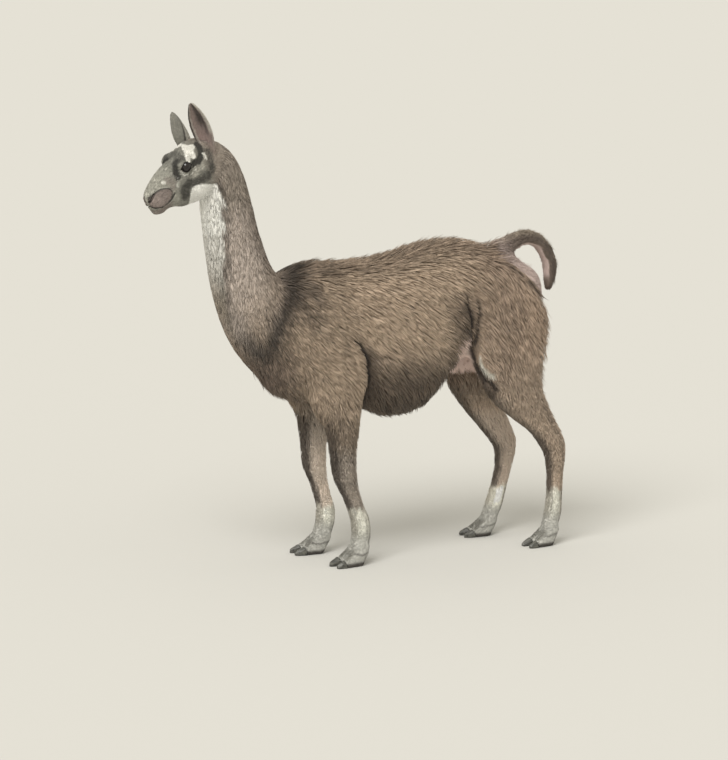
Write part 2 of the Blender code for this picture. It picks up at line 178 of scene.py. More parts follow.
# the head's own frame: its poll is the origin, its left is +x, its nose is -y, and its top is +z

headPose = {"pitch": 24, "yaw": 16, "eyesFromPoll": (0, -0.146, -0.024)}

headTurn = Euler((math.radians(headPose["pitch"]), 0, math.radians(headPose["yaw"])), "XYZ").to_matrix()
betweenEyes = (middleOf("eye_left") + middleOf("eye_right")) / 2
poll = betweenEyes - headTurn @ Vector(headPose["eyesFromPoll"])
headSpace = Matrix.Translation(poll) @ headTurn.to_4x4()
headTurnArray = np.array(headTurn)
pollArray = np.array(poll)
eyeRadius = (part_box("eye_left")[1].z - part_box("eye_left")[0].z) / 2


def toHead(points):
    return (points - pollArray) @ headTurnArray


def fromHead(points):
    return points @ headTurnArray.T + pollArray


def turnFromHead(vectors):
    return vectors @ headTurnArray.T


# The right side of the head laid over the left
def mirrored(local):
    return np.abs(local) * (1, 0, 0) + local * (0, 1, 1)


# the stage, the camera and the light

stageLook = {
    "paper": (229, 225, 213),
    "floorSize": 900.0,
    "sunStrength": 2.4,
    "sunAngle": 34,
    "sunFrom": (0.62, -0.66, 1.05),
    "sunColour": (1.0, 0.985, 0.955),
}
cameraLook = {
    "azimuth": 64.4,
    "elevation": 12.0,
    "distance": 50.0,
    "lens": 627.5,
    "lookAt": (0.0002, 0.0689, 0.678),
}


shaderSockets = {
    "colour": "Base Color",
    "roughness": "Roughness",
    "shine": "Specular IOR Level",
    "sheen": "Sheen Weight",
    "sheenRoughness": "Sheen Roughness",
    "coat": "Coat Weight",
    "coatRoughness": "Coat Roughness",
}


# A material with these values on its shader
def newMaterial(name, **values):
    material = bpy.data.materials.new(name)
    material.use_nodes = True
    shader = material.node_tree.nodes["Principled BSDF"]
    for socket, value in values.items():
        shader.inputs[shaderSockets[socket]].default_value = value
    return material, material.node_tree, shader


def newNode(tree, kind, **values):
    node = tree.nodes.new("ShaderNode" + kind)
    for socket, value in values.items():
        node.inputs[socket].default_value = value
    return node


def setStage():
    paper = tone(*stageLook["paper"])
    sunWay = Vector(stageLook["sunFrom"]).normalized()
    bpy.ops.mesh.primitive_plane_add(size=stageLook["floorSize"], location=(0, 0, 0))
    floor = bpy.context.object
    floor.name = "floor"
    fromSun = stageLook["sunStrength"] * sunWay.z / math.pi * np.array(stageLook["sunColour"])
    colour = paper / (paper + fromSun)
    floorPaint = newMaterial("paperFloor", colour=(*colour, 1), roughness=1.0, shine=0.0)[0]
    floor.data.materials.append(floorPaint)
    world = bpy.data.worlds.new("studio")
    world.use_nodes = True
    background = world.node_tree.nodes["Background"]
    background.inputs["Color"].default_value = (*paper, 1)
    background.inputs["Strength"].default_value = 1.0
    bpy.context.scene.world = world
    bpy.ops.object.light_add(type="SUN", location=sunWay * 6)
    sun = bpy.context.object
    sun.name = "softSun"
    sun.data.energy = stageLook["sunStrength"]
    sun.data.angle = math.radians(stageLook["sunAngle"])
    sun.data.color = stageLook["sunColour"]
    sun.rotation_mode = "QUATERNION"
    sun.rotation_quaternion = sunWay.to_track_quat("Z", "Y")
    bpy.context.scene.view_settings.view_transform = "Standard"


def setCamera():
    azimuth = math.radians(cameraLook["azimuth"])
    elevation = math.radians(cameraLook["elevation"])
    away = Vector((math.sin(azimuth) * math.cos(elevation), -math.cos(azimuth) * math.cos(elevation),
                   math.sin(elevation)))
    bpy.ops.object.camera_add(location=Vector(cameraLook["lookAt"]) + away * cameraLook["distance"])
    camera = bpy.context.object
    camera.rotation_mode = "QUATERNION"
    camera.rotation_quaternion = away.to_track_quat("Z", "Y")
    camera.data.lens = cameraLook["lens"]
    camera.data.sensor_width = 36
    camera.data.clip_end = 1000
    bpy.context.scene.camera = camera


setStage()
setCamera()
print("stage, light and camera are set")


# the bare skin: one closed surface from all the nodes of flesh

skinLook = {
    "overlap": 0.0003,
    "voxel": 0.005,
    "softening": 8,
    "keptShare": 0.17,
    # the head is above this height and in front of this place, and the feet are below this height
    "head": (1.36, -0.40),
    "footTop": 0.14,
    "splits": 4,
    # the longest edges by the folds, on the body, and on the pale patch
    "foldEdge": 0.011,
    "bodyEdge": 0.030,
    "patchEdge": 0.018,
    # the finest hairs are bumps in the skin: how many, how strong and how deep
    "hairScale": 700.0,
    "hairBump": (0.5, 0.0008),
}


# Where the skin can have larger triangles: 0 on the head and feet, 1 elsewhere
def farFromDetail(points):
    local = toHead(points)
    height, front = skinLook["head"]
    onHead = (local[:, 1] < 0.05) & (points[:, 2] > height) & (points[:, 1] < front)
    onFoot = points[:, 2] < skinLook["footTop"]
    return np.where(onHead | onFoot, 0.0, 1.0)


def coordsOf(mesh):
    co = np.zeros(len(mesh.vertices) * 3, np.float32)
    mesh.vertices.foreach_get("co", co)
    return co.reshape(-1, 3).astype(float)


def arraysOf(mesh):
    mesh.calc_loop_triangles()
    faces = np.zeros(len(mesh.loop_triangles) * 3, np.int32)
    mesh.loop_triangles.foreach_get("vertices", faces)
    return coordsOf(mesh), faces.reshape(-1, 3)


def makeBareSkin():
    flesh = [name for name in sorted(nodes) if not name.startswith(("ear", "nail"))]
    piece = mergedCopy("skin", flesh)
    addModifier(piece, "DISPLACE", strength=skinLook["overlap"], mid_level=0)
    addModifier(piece, "REMESH", mode="VOXEL", voxel_size=skinLook["voxel"])
    addModifier(piece, "SMOOTH", factor=0.5, iterations=skinLook["softening"])
    applyModifiers(piece)
    smooth = BVHTree.FromPolygons(*[array.tolist() for array in arraysOf(piece.data)])
    plain = piece.vertex_groups.new(name="plain")
    share = farFromDetail(coordsOf(piece.data))
    plain.add([int(i) for i in np.flatnonzero(share > 0.5)], 1.0, "REPLACE")
    plain.add([int(i) for i in np.flatnonzero(share <= 0.5)], 0.0, "REPLACE")
    addModifier(piece, "DECIMATE", ratio=skinLook["keptShare"], vertex_group="plain")
    applyModifiers(piece)
    piece.vertex_groups.clear()
    return piece, smooth


skin, smoothBody = makeBareSkin()
print("bare skin", len(skin.data.vertices), "points")


# ears: cupped leaves that grow out of the head

earLook = {
    "halfWidth": 0.033,
    "thickness": 0.0046,
    "alongSteps": 16,
    "acrossSteps": 12,
    # root, tip, the way that the cup opens, and how far its middle bows away from there
    "left": ((0.066, -0.030, -0.040), (0.038, -0.020, 0.172), (0.80, -0.60, 0.0), 0.008),
    "right": ((-0.070, -0.038, -0.040), (-0.027, -0.075, 0.154), (-0.97, -0.25, 0.0), -0.004),
    # share of the length, half width, half angle of the cup in degrees
    "shapes": ((0.0, 0.40, 128), (0.16, 0.68, 112), (0.34, 0.95, 92), (0.55, 1.02, 76), (0.75, 0.82, 64),
               (0.91, 0.45, 54), (1.0, 0.10, 50)),
    # for the markings: shares of the length, and the half width or the dark line's place at each
    "outline": ((0, 0.16, 0.34, 0.55, 0.75, 0.91, 1.0), (0.5, 0.72, 0.95, 1.02, 0.82, 0.45, 0.15)),
    "backLine": ((0.33, 0.38, 0.58, 0.68), (-0.50, -0.43, 0.10, 0.50)),
}


# Width and half angle at a share of the ear's length
def earShape(share):
    shapes = np.array(earLook["shapes"], float)
    place = share * (len(shapes) - 1)
    i = min(int(place), len(shapes) - 2)
    u = place - i
    a, b = shapes[max(i - 1, 0)], shapes[i]
    c, d = shapes[i + 1], shapes[min(i + 2, len(shapes) - 1)]
    bend = 2 * a - 5 * b + 4 * c - d
    twist = 3 * b - a - 3 * c + d
    return 0.5 * (2 * b + (c - a) * u + bend * u ** 2 + twist * u ** 3)


def makeEar(side):
    root, tip, opening, bow = (Vector(v) if isinstance(v, tuple) else v for v in earLook[side])
    axis = (tip - root).normalized()
    facing = (opening - axis * opening.dot(axis)).normalized()
    across = axis.cross(facing)
    along, wide = earLook["alongSteps"], earLook["acrossSteps"]
    bpy.ops.object.select_all(action="DESELECT")
    bpy.ops.mesh.primitive_grid_add(x_subdivisions=wide, y_subdivisions=along, size=2)
    ear = bpy.context.object
    ear.name = "ear"
    for v in ear.data.vertices:
        t = 0.5 * (v.co.y + 1)
        share, width, half = earShape(t)
        middle = root.lerp(tip, share) - facing * (bow * math.sin(math.pi * share))
        half = math.radians(half)
        radius = earLook["halfWidth"] * width / math.sin(min(half, math.pi / 2))
        turn = half * v.co.x
        v.co = headSpace @ (middle + across * (radius * math.sin(turn))
                            - facing * (radius * (math.cos(turn) - math.cos(half))))
    turnOutwards(ear)
    outward = headTurn @ (-facing)
    middleFace = ear.data.polygons[len(ear.data.polygons) // 2 + wide // 2]
    if middleFace.normal.dot(outward) < 0:
        ear.data.flip_normals()
    addModifier(ear, "SOLIDIFY", thickness=earLook["thickness"], offset=1.0, use_even_offset=False)
    addModifier(ear, "SUBSURF", levels=1, render_levels=1)
    addModifier(ear, "TRIANGULATE")
    applyModifiers(ear)
    return ear


def joinEars():
    for side in ("left", "right"):
        ear = makeEar(side)
        addModifier(skin, "TRIANGULATE")
        addModifier(skin, "BOOLEAN", operation="UNION", solver="MANIFOLD", object=ear)
        applyModifiers(skin)
        bpy.data.objects.remove(ear)


joinEars()
print("ears are joined", len(skin.data.vertices), "points")


# places on the body, on the left side, in metres
bodyPlaces = {
    "shoulderBand": ((0.007, -0.237, 1.140), (0.072, -0.268, 1.106), (0.103, -0.282, 1.065),
                     (0.114, -0.314, 1.003), (0.119, -0.347, 0.940), (0.115, -0.366, 0.884)),
    "bandRear": ((0.085, -0.195, 1.115), (0.140, -0.210, 1.040), (0.160, -0.225, 0.960)),
    "neckEdge": ((0.115, -0.366, 0.884), (0.098, -0.394, 0.845), (0.083, -0.434, 0.865),
                 (0.067, -0.478, 0.913), (0.062, -0.507, 0.982)),
    "armCrease": ((0.180, -0.037, 0.870), (0.180, -0.011, 0.826), (0.172, 0.009, 0.755),
                  (0.157, 0.016, 0.694), (0.137, 0.011, 0.643)),
    "flankFold": ((0.182, 0.412, 1.002), (0.183, 0.428, 0.941), (0.172, 0.441, 0.864),
                  (0.147, 0.455, 0.798), (0.139, 0.463, 0.751), (0.136, 0.475, 0.705),
                  (0.151, 0.495, 0.674), (0.160, 0.520, 0.646), (0.163, 0.538, 0.623)),
    "innerFold": ((0.179, 0.465, 0.974), (0.177, 0.474, 0.921), (0.167, 0.468, 0.860),
                  (0.148, 0.458, 0.798)),
    "paleStreak": ((0.156, 0.479, 0.753), (0.156, 0.489, 0.716), (0.163, 0.506, 0.693),
                   (0.171, 0.526, 0.678)),
    "groin": ((0.126, 0.423, 0.762), (0.150, 0.441, 0.804), (0.118, 0.461, 0.742)),
    "patchEdge": ((0.051, 0.633, 1.127), (0.094, 0.599, 1.122), (0.127, 0.614, 1.102),
                  (0.132, 0.641, 1.087), (0.138, 0.662, 1.069), (0.143, 0.696, 1.039),
                  (0.142, 0.727, 1.004), (0.130, 0.745, 0.970)),
}
# measures on the body's side: heights, and the measure at each
byHeight = {
    # where the pale patch under the tail begins
    "patchFront": ((0.93, 0.97, 1.004, 1.039, 1.069, 1.087, 1.102, 1.122, 1.135),
                   (0.82, 0.748, 0.727, 0.696, 0.662, 0.641, 0.614, 0.599, 0.61)),
    # where the belly's skin meets the thigh
    "thighFront": ((0.623, 0.646, 0.674, 0.705, 0.751, 0.798, 0.864),
                   (0.538, 0.520, 0.495, 0.475, 0.463, 0.455, 0.441)),
    "flankFold": ((0.62, 0.75, 1.0), (0.54, 0.463, 0.412)),
    "armRear": ((0.643, 0.694, 0.755, 0.826, 0.870), (0.005, 0.011, 0.004, -0.016, -0.045)),
    # how wide the arm's shadow is on the belly
    "armShadow": ((0.60, 0.70, 0.80, 0.88), (0.24, 0.19, 0.09, 0.04)),
}
# the middle of the tail, from its root to its tip
tailLine = ((0, 0.608, 1.120), (0, 0.666, 1.145), (0, 0.706, 1.162), (0, 0.739, 1.169), (0, 0.778, 1.162),
            (0, 0.810, 1.137), (0, 0.833, 1.101), (0, 0.847, 1.062), (0, 0.849, 1.021), (0, 0.844, 0.985),
            (0, 0.842, 0.957))


# The same place on the left side. The right legs stand a little further forward
def likeLeft(points):
    x, y, z = points.T
    lag = between(0.040, 0.142, smoothStep(0.10, 0.35, y)) * smoothStep(0.95, 0.62, z)
    return np.stack([np.abs(x), y + lag * (x < 0), z], axis=1)


def atHeight(name, height):
    return np.interp(height, *byHeight[name])


def nearBody(left, *places):
    return np.min([lineDistance(left, bodyPlaces[place]) for place in places], axis=0)


# the face is cut into finer triangles, and then shaped by small pushes

faceLook = {
    "lidGap": 0.0011,          # from the eyeball to the inside of a lid
    "openWide": 62,            # half the opening, in degrees round the eyeball
    "openUp": 45,
    "openDown": 46,
    "lidFade": 26,
    "lidArch": 0.62,           # how full the curve of the opening is
    "lidTilt": 5,              # the opening's tilt, in degrees
    "cornerDrop": 0.10,        # the inner corner hangs lower
    "lidRim": 0.0012,          # how much the lids thicken behind their edge
    "lidCrease": (13, 3.2, 0.0013),    # over the upper lid: degrees above its edge, half width, depth
    "socket": 0.80,            # how deep the skin goes behind the eye, in the eyeball's radii
    "eyeWay": (0.88, -0.42, 0.12),
    "nostril": ((0.010, -0.3385, -0.078), (0.021, -0.333, -0.073), (0.029, -0.322, -0.060),
                (0.030, -0.313, -0.052)),
    "mouth": ((0.0, -0.336, -0.101), (0.014, -0.334, -0.104), (0.027, -0.318, -0.111),
              (0.036, -0.296, -0.116), (0.040, -0.270, -0.115), (0.041, -0.250, -0.109),
              (0.042, -0.238, -0.101), (0.043, -0.231, -0.094)),
    "cleft": ((0.0, -0.342, -0.094), (0.0, -0.342, -0.078)),
    "lipPad": (-0.288, -0.082, 0.048, 0.031),    # middle along y and z, half axes
    "padRise": 0.0012,
    "padRim": 0.0011,          # depth of the groove round the pad
}
# depth, half width and raised rim of the grooves of the face, in metres
grooveLook = {
    "mouth": (0.0060, 0.0024, 0.0009),
    "nostril": (0.0085, 0.0030, 0.0012),
    "cleft": (0.0026, 0.0022, 0.0003),
}


# Split every edge of the triangles whose corners are in that place
def refine(piece, isIn):
    bm = bmesh.new()
    bm.from_mesh(piece.data)
    inside = isIn(coordsOf(piece.data))
    edges = [e for e in bm.edges if inside[e.verts[0].index] and inside[e.verts[1].index]]
    bmesh.ops.subdivide_edges(bm, edges=edges, cuts=1, use_grid_fill=True)
    bmesh.ops.triangulate(bm, faces=bm.faces)
    bm.to_mesh(piece.data)
    bm.free()


# Middle of the eyeball and its axes in the head's frame: outwards, towards the nose, and up
def eyeAxes(side):
    middle = toHead(np.array(middleOf("eye_left" if side > 0 else "eye_right"))[None])[0]
    way = np.array(faceLook["eyeWay"]) * (side, 1, 1)
    way = way / np.linalg.norm(way)
    up = np.array((0.0, 0.0, 1.0))
    up = up - way * (up @ way)
    up = up / np.linalg.norm(up)
    noseward = np.cross(up, way) * -side
    return middle, way, noseward, up


# Degrees from the edge of the lids, below 0 inside the opening, and the distance from the eyeball's middle
def lidDistance(local, side):
    middle, way, noseward, up = eyeAxes(side)
    out = local - middle
    reach = np.linalg.norm(out, axis=1)
    ahead = out @ way
    along = np.degrees(np.arctan2(out @ noseward, ahead))
    above = np.degrees(np.arctan2(out @ up, ahead))
    along = along + faceLook["cornerDrop"] * above
    t = np.clip(along / faceLook["openWide"], -1, 1)
    arch = np.maximum(1 - t * t, 0) ** faceLook["lidArch"]
    top = faceLook["openUp"] * arch - faceLook["lidTilt"] * t
    low = -faceLook["openDown"] * arch - faceLook["lidTilt"] * t
    beyond = np.maximum(np.abs(along) - faceLook["openWide"], 0)
    gap = np.maximum(above - top, low - above)
    gap = np.where(beyond > 0, np.hypot(beyond, np.maximum(gap, 0)), gap)
    return gap, reach, above - top, t


def shapeLids(local, side):
    middle = eyeAxes(side)[0]
    gap, reach, aboveTop, t = lidDistance(local, side)
    near = reach < eyeRadius * 2.1
    inner = eyeRadius * faceLook["socket"]
    lid = eyeRadius + faceLook["lidGap"] + faceLook["lidRim"] * smoothStep(0, 5, gap)
    crease, wide, deep = faceLook["lidCrease"]
    lid = lid - deep * hump(aboveTop, crease, wide) * (1 - t * t) * (aboveTop > 0)
    skinReach = np.maximum(reach, eyeRadius + faceLook["lidGap"])
    target = between(lid, skinReach, smoothStep(4, faceLook["lidFade"], gap))
    target = between(inner, target, smoothStep(-3.5, 0.5, gap))
    moved = middle + (local - middle) / np.maximum(reach, 1e-6)[:, None] * target[:, None]
    return np.where(near[:, None], moved, local)


# Press a groove along a line into the surface, with a raised rim beside it
def pressLine(local, normals, line, depth, width, rim):
    gap = lineDistance(local, line)
    push = -depth * hump(gap, 0, width) + rim * hump(gap, 2.2 * width, width)
    return local + normals * push[:, None]


def pointNormals(points, faces):
    a, b, c = (points[faces[:, k]] for k in range(3))
    area = np.cross(b - a, c - a)
    total = np.stack([sum(np.bincount(faces[:, k], area[:, axis], len(points)) for k in range(3))
                      for axis in range(3)], axis=1)
    return unit(total)


# Average each point's values with its neighbours'. share is how much each point takes part
def smoothOver(values, faces, rounds, share=None):
    ends = np.concatenate([faces[:, (0, 1)], faces[:, (1, 2)], faces[:, (2, 0)]])
    start, stop = np.concatenate([ends[:, 0], ends[:, 1]]), np.concatenate([ends[:, 1], ends[:, 0]])
    count = np.maximum(np.bincount(start, minlength=len(values)), 1)[:, None]
    flat = values.reshape(len(values), -1).copy()
    take = 1.0 if share is None else share[:, None]
    for _ in range(rounds):
        around = np.stack([np.bincount(start, flat[stop, k], len(flat)) for k in range(flat.shape[1])],
                          axis=1)
        flat = flat + take * (around / count - flat)
    return flat.reshape(values.shape)


# Split the edges that are longer than the limit for their place
def splitLong(piece, limitOf):
    bm = bmesh.new()
    bm.from_mesh(piece.data)
    for _ in range(skinLook["splits"]):
        points = np.array([v.co for v in bm.verts])
        ends = np.array([[v.index for v in e.verts] for e in bm.edges])
        length = np.linalg.norm(points[ends[:, 0]] - points[ends[:, 1]], axis=1)
        wanted = np.flatnonzero(length > limitOf((points[ends[:, 0]] + points[ends[:, 1]]) / 2))
        bm.edges.ensure_lookup_table()
        bmesh.ops.subdivide_edges(bm, edges=[bm.edges[i] for i in wanted], cuts=1)
        bmesh.ops.triangulate(bm, faces=bm.faces)
        bm.verts.index_update()
    bm.to_mesh(piece.data)
    bm.free()


def edgeLimit(points):
    left = likeLeft(points)
    fold = nearBody(left, "armCrease", "flankFold", "innerFold", "paleStreak")
    limit = between(skinLook["foldEdge"], skinLook["bodyEdge"], smoothStep(0.020, 0.060, fold))
    patch = (points[:, 1] > 0.55) & (points[:, 2] > 0.88)
    limit = np.where(patch, skinLook["patchEdge"], limit)
    return np.where(farFromDetail(points) > 0.5, limit, 9.0)


def shapeBody():
    splitLong(skin, edgeLimit)
    points = coordsOf(skin.data)
    body = np.flatnonzero((points[:, 2] < 1.30) | (points[:, 1] > -0.40))
    points[body] = [smoothBody.find_nearest(p)[0] for p in points[body].tolist()]
    skin.data.vertices.foreach_set("co", points.astype(np.float32).ravel())


shapeBody()


def shapeFace():
    refine(skin, lambda p: (toHead(p)[:, 1] < -0.02) & (p[:, 2] > 1.42) & (p[:, 1] < -0.56))
    refine(skin, nearFeature)
    points, faces = arraysOf(skin.data)
    local = toHead(points)
    onFace = smoothStep(0.02, -0.02, local[:, 1]) * (points[:, 2] > 1.38) * (points[:, 1] < -0.5)
    onEar = (local[:, 2] > 0.035) & (points[:, 2] > 1.6)
    points = smoothOver(points, faces, 3, 0.5 * np.where(onEar, 0, onFace))
    skin.data.vertices.foreach_set("co", points.ravel())
    return points, faces


def nearFeature(points):
    local = toHead(points)
    mirror = mirrored(local)
    near = np.zeros(len(points), bool)
    for place, wide in (("mouth", 0.008), ("nostril", 0.010), ("cleft", 0.007)):
        near |= lineDistance(mirror, faceLook[place]) < wide
    for side in (1, -1):
        near |= np.linalg.norm(local - eyeAxes(side)[0], axis=1) < 0.033
    return near


skinPoints, skinFaces = shapeFace()
print("face is refined", len(skinPoints), "points", len(skinFaces), "triangles")


# the coat: what grows where, and how it lies

coatLook = {
    # depth under the tips, length, width of a tuft, all in millimetres
    "trunk": (15, 62, 3.9),
    "neck": (8, 54, 3.0),
    "head": (2.0, 11, 1.9),
    "ear": (0.8, 13, 1.8),
    "tail": (9, 50, 3.8),
    "armUpper": (7, 30, 3.2),
    "thigh": (9, 36, 3.6),
    "shank": (3.0, 14, 2.2),
    "foot": (1.6, 9, 1.8),
}
groups = list(coatLook)
# rounds of smoothing for the fields of the skin
smoothing = {"belongs": 24, "folds": 4, "depth": 4, "sink": 6, "flow": 12}
# bare places have short hair: its depth, length and width in metres
bareCoat = (0.003, 0.015, 0.0024)
# and in the folds these shares of the depth, length and width go
foldLoss = (0.45, 0.60, 0.30)
bareLook = {
    # no hair this near to a groove, or this low
    "mouth": 0.0036,
    "nostril": 0.0048,
    "sole": 0.006,
    "eye": (1.5, 4.0),         # nor this near: in the eyeball's radii, and degrees from the lids' edge
    # shares of the tufts that are missing
    "groin": 0.75,
    "folds": 0.60,
    "tail": 0.85,
}


def groupOf(node):
    if node.startswith("nail") or node.endswith("foot"):
        return "foot"
    if node.startswith("tail"):
        return "tail"
    if node.endswith("lower"):
        return "shank"
    if node.startswith("foreleg"):
        return "armUpper"
    if node.startswith("hindleg"):
        return "thigh"
    return "ear" if node.startswith("ear") else "head" if node.startswith("eye") else node


# The number of the group that the nearest CAD node belongs to
def nearestNode(points):
    corners, triangles, owners = [], [], []
    for name in sorted(nodes):
        co, tri = arraysOf(nodes[name].data)
        triangles.append(tri + sum(len(c) for c in corners))
        corners.append(co)
        owners += [groups.index(groupOf(name))] * len(tri)
    tree = BVHTree.FromPolygons(np.concatenate(corners).tolist(), np.concatenate(triangles).tolist())
    return np.array([owners[tree.find_nearest(p)[2]] for p in points.tolist()])


owner = nearestNode(skinPoints)
onTail = (lineDistance(skinPoints, tailLine) < 0.047) & (skinPoints[:, 1] > 0.635)
owner = np.where(onTail, groups.index("tail"), owner)
belongs = np.eye(len(groups))[owner]
isEar = belongs[:, groups.index("ear")] > 0.5
belongs = smoothOver(belongs, skinFaces, smoothing["belongs"], np.where(isEar, 0.0, 1.0))
belongs = belongs / belongs.sum(axis=1, keepdims=True)


def fieldOf(k):
    return belongs @ np.array([coatLook[name][k] for name in groups], float) / 1000


# How far in front of the pale patch a place is
def beyondPatch(points):
    # rounder below, between the legs
    lower = 0.05 * (1 - smoothStep(0.0, 0.13, np.abs(points[:, 0])))
    return atHeight("patchFront", points[:, 2] + lower) - points[:, 1]


# 1 inside the pale short-haired patch round the root of the tail
def patchShare(points):
    return smoothStep(0.008, -0.008, beyondPatch(points)) * part("trunk", "tail")


# 1 on the bare skin between the belly and the thighs
def pinkPlace(points, normals):
    left = likeLeft(points)
    x, y, z = points.T
    before = atHeight("thighFront", z) - left[:, 1]
    fold = smoothStep(0.050, 0.036, nearBody(left, "groin")) * smoothStep(-0.003, 0.004, before)
    fold *= z > 0.68
    inward = smoothStep(0.0, 0.35, -normals[:, 0] * np.sign(x))
    inner = smoothStep(0.648, 0.656, z) * smoothStep(0.125, 0.105, np.abs(x)) * inward
    return np.maximum(fold, inner * smoothStep(0.40, 0.44, y) * smoothStep(0.64, 0.60, y) * (z < 0.80))


def groinShare(points, normals):
    return pinkPlace(points, normals) * part("trunk", "thigh")


# How far each point of the skin belongs to these groups
def part(*names):
    return sum(belongs[:, groups.index(name)] for name in names)


tailBend = np.array((0, 0.735, 1.045))


# 1 on the bare inner side of the tail's arch
def tailInside(points, normals):
    inward = unit((tailBend - points) * (0, 1, 1))
    return smoothStep(0.38, 0.58, np.sum(inward * normals, axis=1)) * part("tail") * (points[:, 1] > 0.66)


# Depth of the coat under its tips, and the length and width of its tufts, for each point of the skin
def coatFields(points, normals):
    left = likeLeft(points)
    depth, length, width = fieldOf(0), fieldOf(1), fieldOf(2)
    depth += 0.005 * part("trunk") * smoothStep(0.70, 0.60, points[:, 2])
    throat = part("head") * smoothStep(-0.2, -0.7, normals @ headTurnArray[:, 2])
    depth += 0.0015 * throat * smoothStep(-0.20, -0.12, toHead(points)[:, 1])
    bare = np.max([patchShare(points), groinShare(points, normals), tailInside(points, normals)], axis=0)
    fold = nearBody(left, "flankFold", "innerFold", "armCrease", "paleStreak")
    short = part("trunk", "thigh") * smoothStep(0.045, 0.012, fold)
    return [between(value, least, bare) * (1 - loss * short)
            for value, least, loss in zip((depth, length, width), bareCoat, foldLoss)]


# depth and half width of each fold, in metres
foldLook = {
    "flankFold": (0.010, 0.012),
    "innerFold": (0.005, 0.010),
    "armCrease": (0.010, 0.014),
}


# Sink the skin along the folds of the flank and behind the arm
def pressFolds(points, normals):
    left = likeLeft(points)
    sink = sum(deep * hump(nearBody(left, place), 0, wide) for place, (deep, wide) in foldLook.items())
    return points - normals * (sink * part("trunk", "thigh"))[:, None]


skinNormals = pointNormals(skinPoints, skinFaces)
depthField, lengthField, widthField = coatFields(skinPoints, skinNormals)
skinPoints = pressFolds(skinPoints, smoothOver(skinNormals, skinFaces, smoothing["folds"]))
depthField = smoothOver(depthField, skinFaces, smoothing["depth"], 1 - part("head", "ear", "foot"))
skinPoints = skinPoints - smoothOver(skinNormals, skinFaces, smoothing["sink"]) * depthField[:, None]
print("skin lies under the coat")


# places on the face, in the head's frame, the same on both sides
facePlaces = {
    "band": ((0.036, -0.052, 0.014), (0.052, -0.060, -0.003), (0.060, -0.073, -0.022),
             (0.064, -0.092, -0.032), (0.062, -0.118, -0.029)),
    "brow": ((0.004, -0.138, 0.017), (0.020, -0.150, 0.011), (0.045, -0.150, 0.011)),
    "farBrow": ((0.041, -0.158, 0.008), (0.033, -0.175, -0.003)),
    "stripe": ((0.026, -0.166, 0.002), (0.034, -0.184, -0.011), (0.042, -0.195, -0.028),
               (0.047, -0.193, -0.047)),
    "cheek": ((0.060, -0.040, -0.028), (0.067, -0.041, -0.060), (0.068, -0.050, -0.090),
              (0.068, -0.080, -0.103), (0.067, -0.112, -0.100), (0.058, -0.155, -0.092),
              (0.051, -0.186, -0.098), (0.049, -0.192, -0.122)),
    "jaw": ((0.055, -0.165, -0.088), (0.051, -0.186, -0.105), (0.049, -0.188, -0.130)),
    "behindEye": ((0.064, -0.117, -0.045), (0.069, -0.093, -0.055), (0.066, -0.122, -0.063)),
    "ring": ((0.048, -0.176, -0.037), (0.055, -0.164, -0.052), (0.061, -0.145, -0.057),
             (0.064, -0.120, -0.050)),
    "specks": ((0.047, -0.200, -0.050), (0.048, -0.206, -0.065), (0.048, -0.212, -0.080)),
    "earSpot": ((0.062, -0.058, -0.020), (0.066, -0.059, -0.040)),
    "noseSpot": ((0.033, -0.257, -0.032), (0.034, -0.252, -0.036)),
    "noseFleck": ((0.037, -0.270, -0.053), (0.041, -0.254, -0.057)),
    "noseSide": ((0.036, -0.238, -0.036), (0.042, -0.220, -0.052), (0.044, -0.232, -0.070)),
}


# A line with more points, each on the nearest place of the skin
def laidOn(tree, line):
    line = np.array(line, float)
    dense = [a + (b - a) * k / 4 for a, b in zip(line, line[1:]) for k in range(4)] + [line[-1]]
    return [tuple(tree.find_nearest(p.tolist())[0]) for p in dense]


# Lay the lines of the face and the body on the skin
def snapLines():
    faceTree = BVHTree.FromPolygons(toHead(skinPoints).tolist(), skinFaces.tolist())
    bodyTree = BVHTree.FromPolygons(skinPoints.tolist(), skinFaces.tolist())
    for tree, lines, names in ((faceTree, faceLook, grooveLook), (faceTree, facePlaces, facePlaces),
                               (bodyTree, bodyPlaces, bodyPlaces)):
        for name in names:
            lines[name] = laidOn(tree, lines[name])


snapLines()


def sculptFace(points, faces):
    local = toHead(points)
    normals = pointNormals(local, faces)
    inFace = (local[:, 1] < -0.06) & (points[:, 2] > 1.36) & (points[:, 1] < -0.55)
    for side in (1, -1):
        local = shapeLids(local, side)
    flip = np.where(local[:, 0] < 0, -1.0, 1.0)[:, None] ** np.array([1, 0, 0])
    mirror = local * flip
    around = normals * flip
    for name, (depth, wide, rim) in grooveLook.items():
        mirror = pressLine(mirror, around, faceLook[name], depth, wide, rim)
    ring = padRing(mirror)
    pad = faceLook["padRise"] * smoothStep(1.05, 0.80, ring) - faceLook["padRim"] * hump(ring, 1.08, 0.07)
    mirror = mirror + around * (pad * smoothStep(0.010, 0.016, mirror[:, 0]))[:, None]
    local = np.where(inFace[:, None], mirror * flip, local)
    return fromHead(local)


# 1 on the edge of the oval pad of the upper lip, and less inside
def padRing(mirror):
    y, z, long, high = faceLook["lipPad"]
    return np.hypot((mirror[:, 1] - y) / long, (mirror[:, 2] - z) / high)


skinPoints = sculptFace(skinPoints, skinFaces)
skinNormals = pointNormals(skinPoints, skinFaces)
skin.data.vertices.foreach_set("co", skinPoints.ravel())
skin.data.update()
print("face is sculpted")


# the lie of the coat

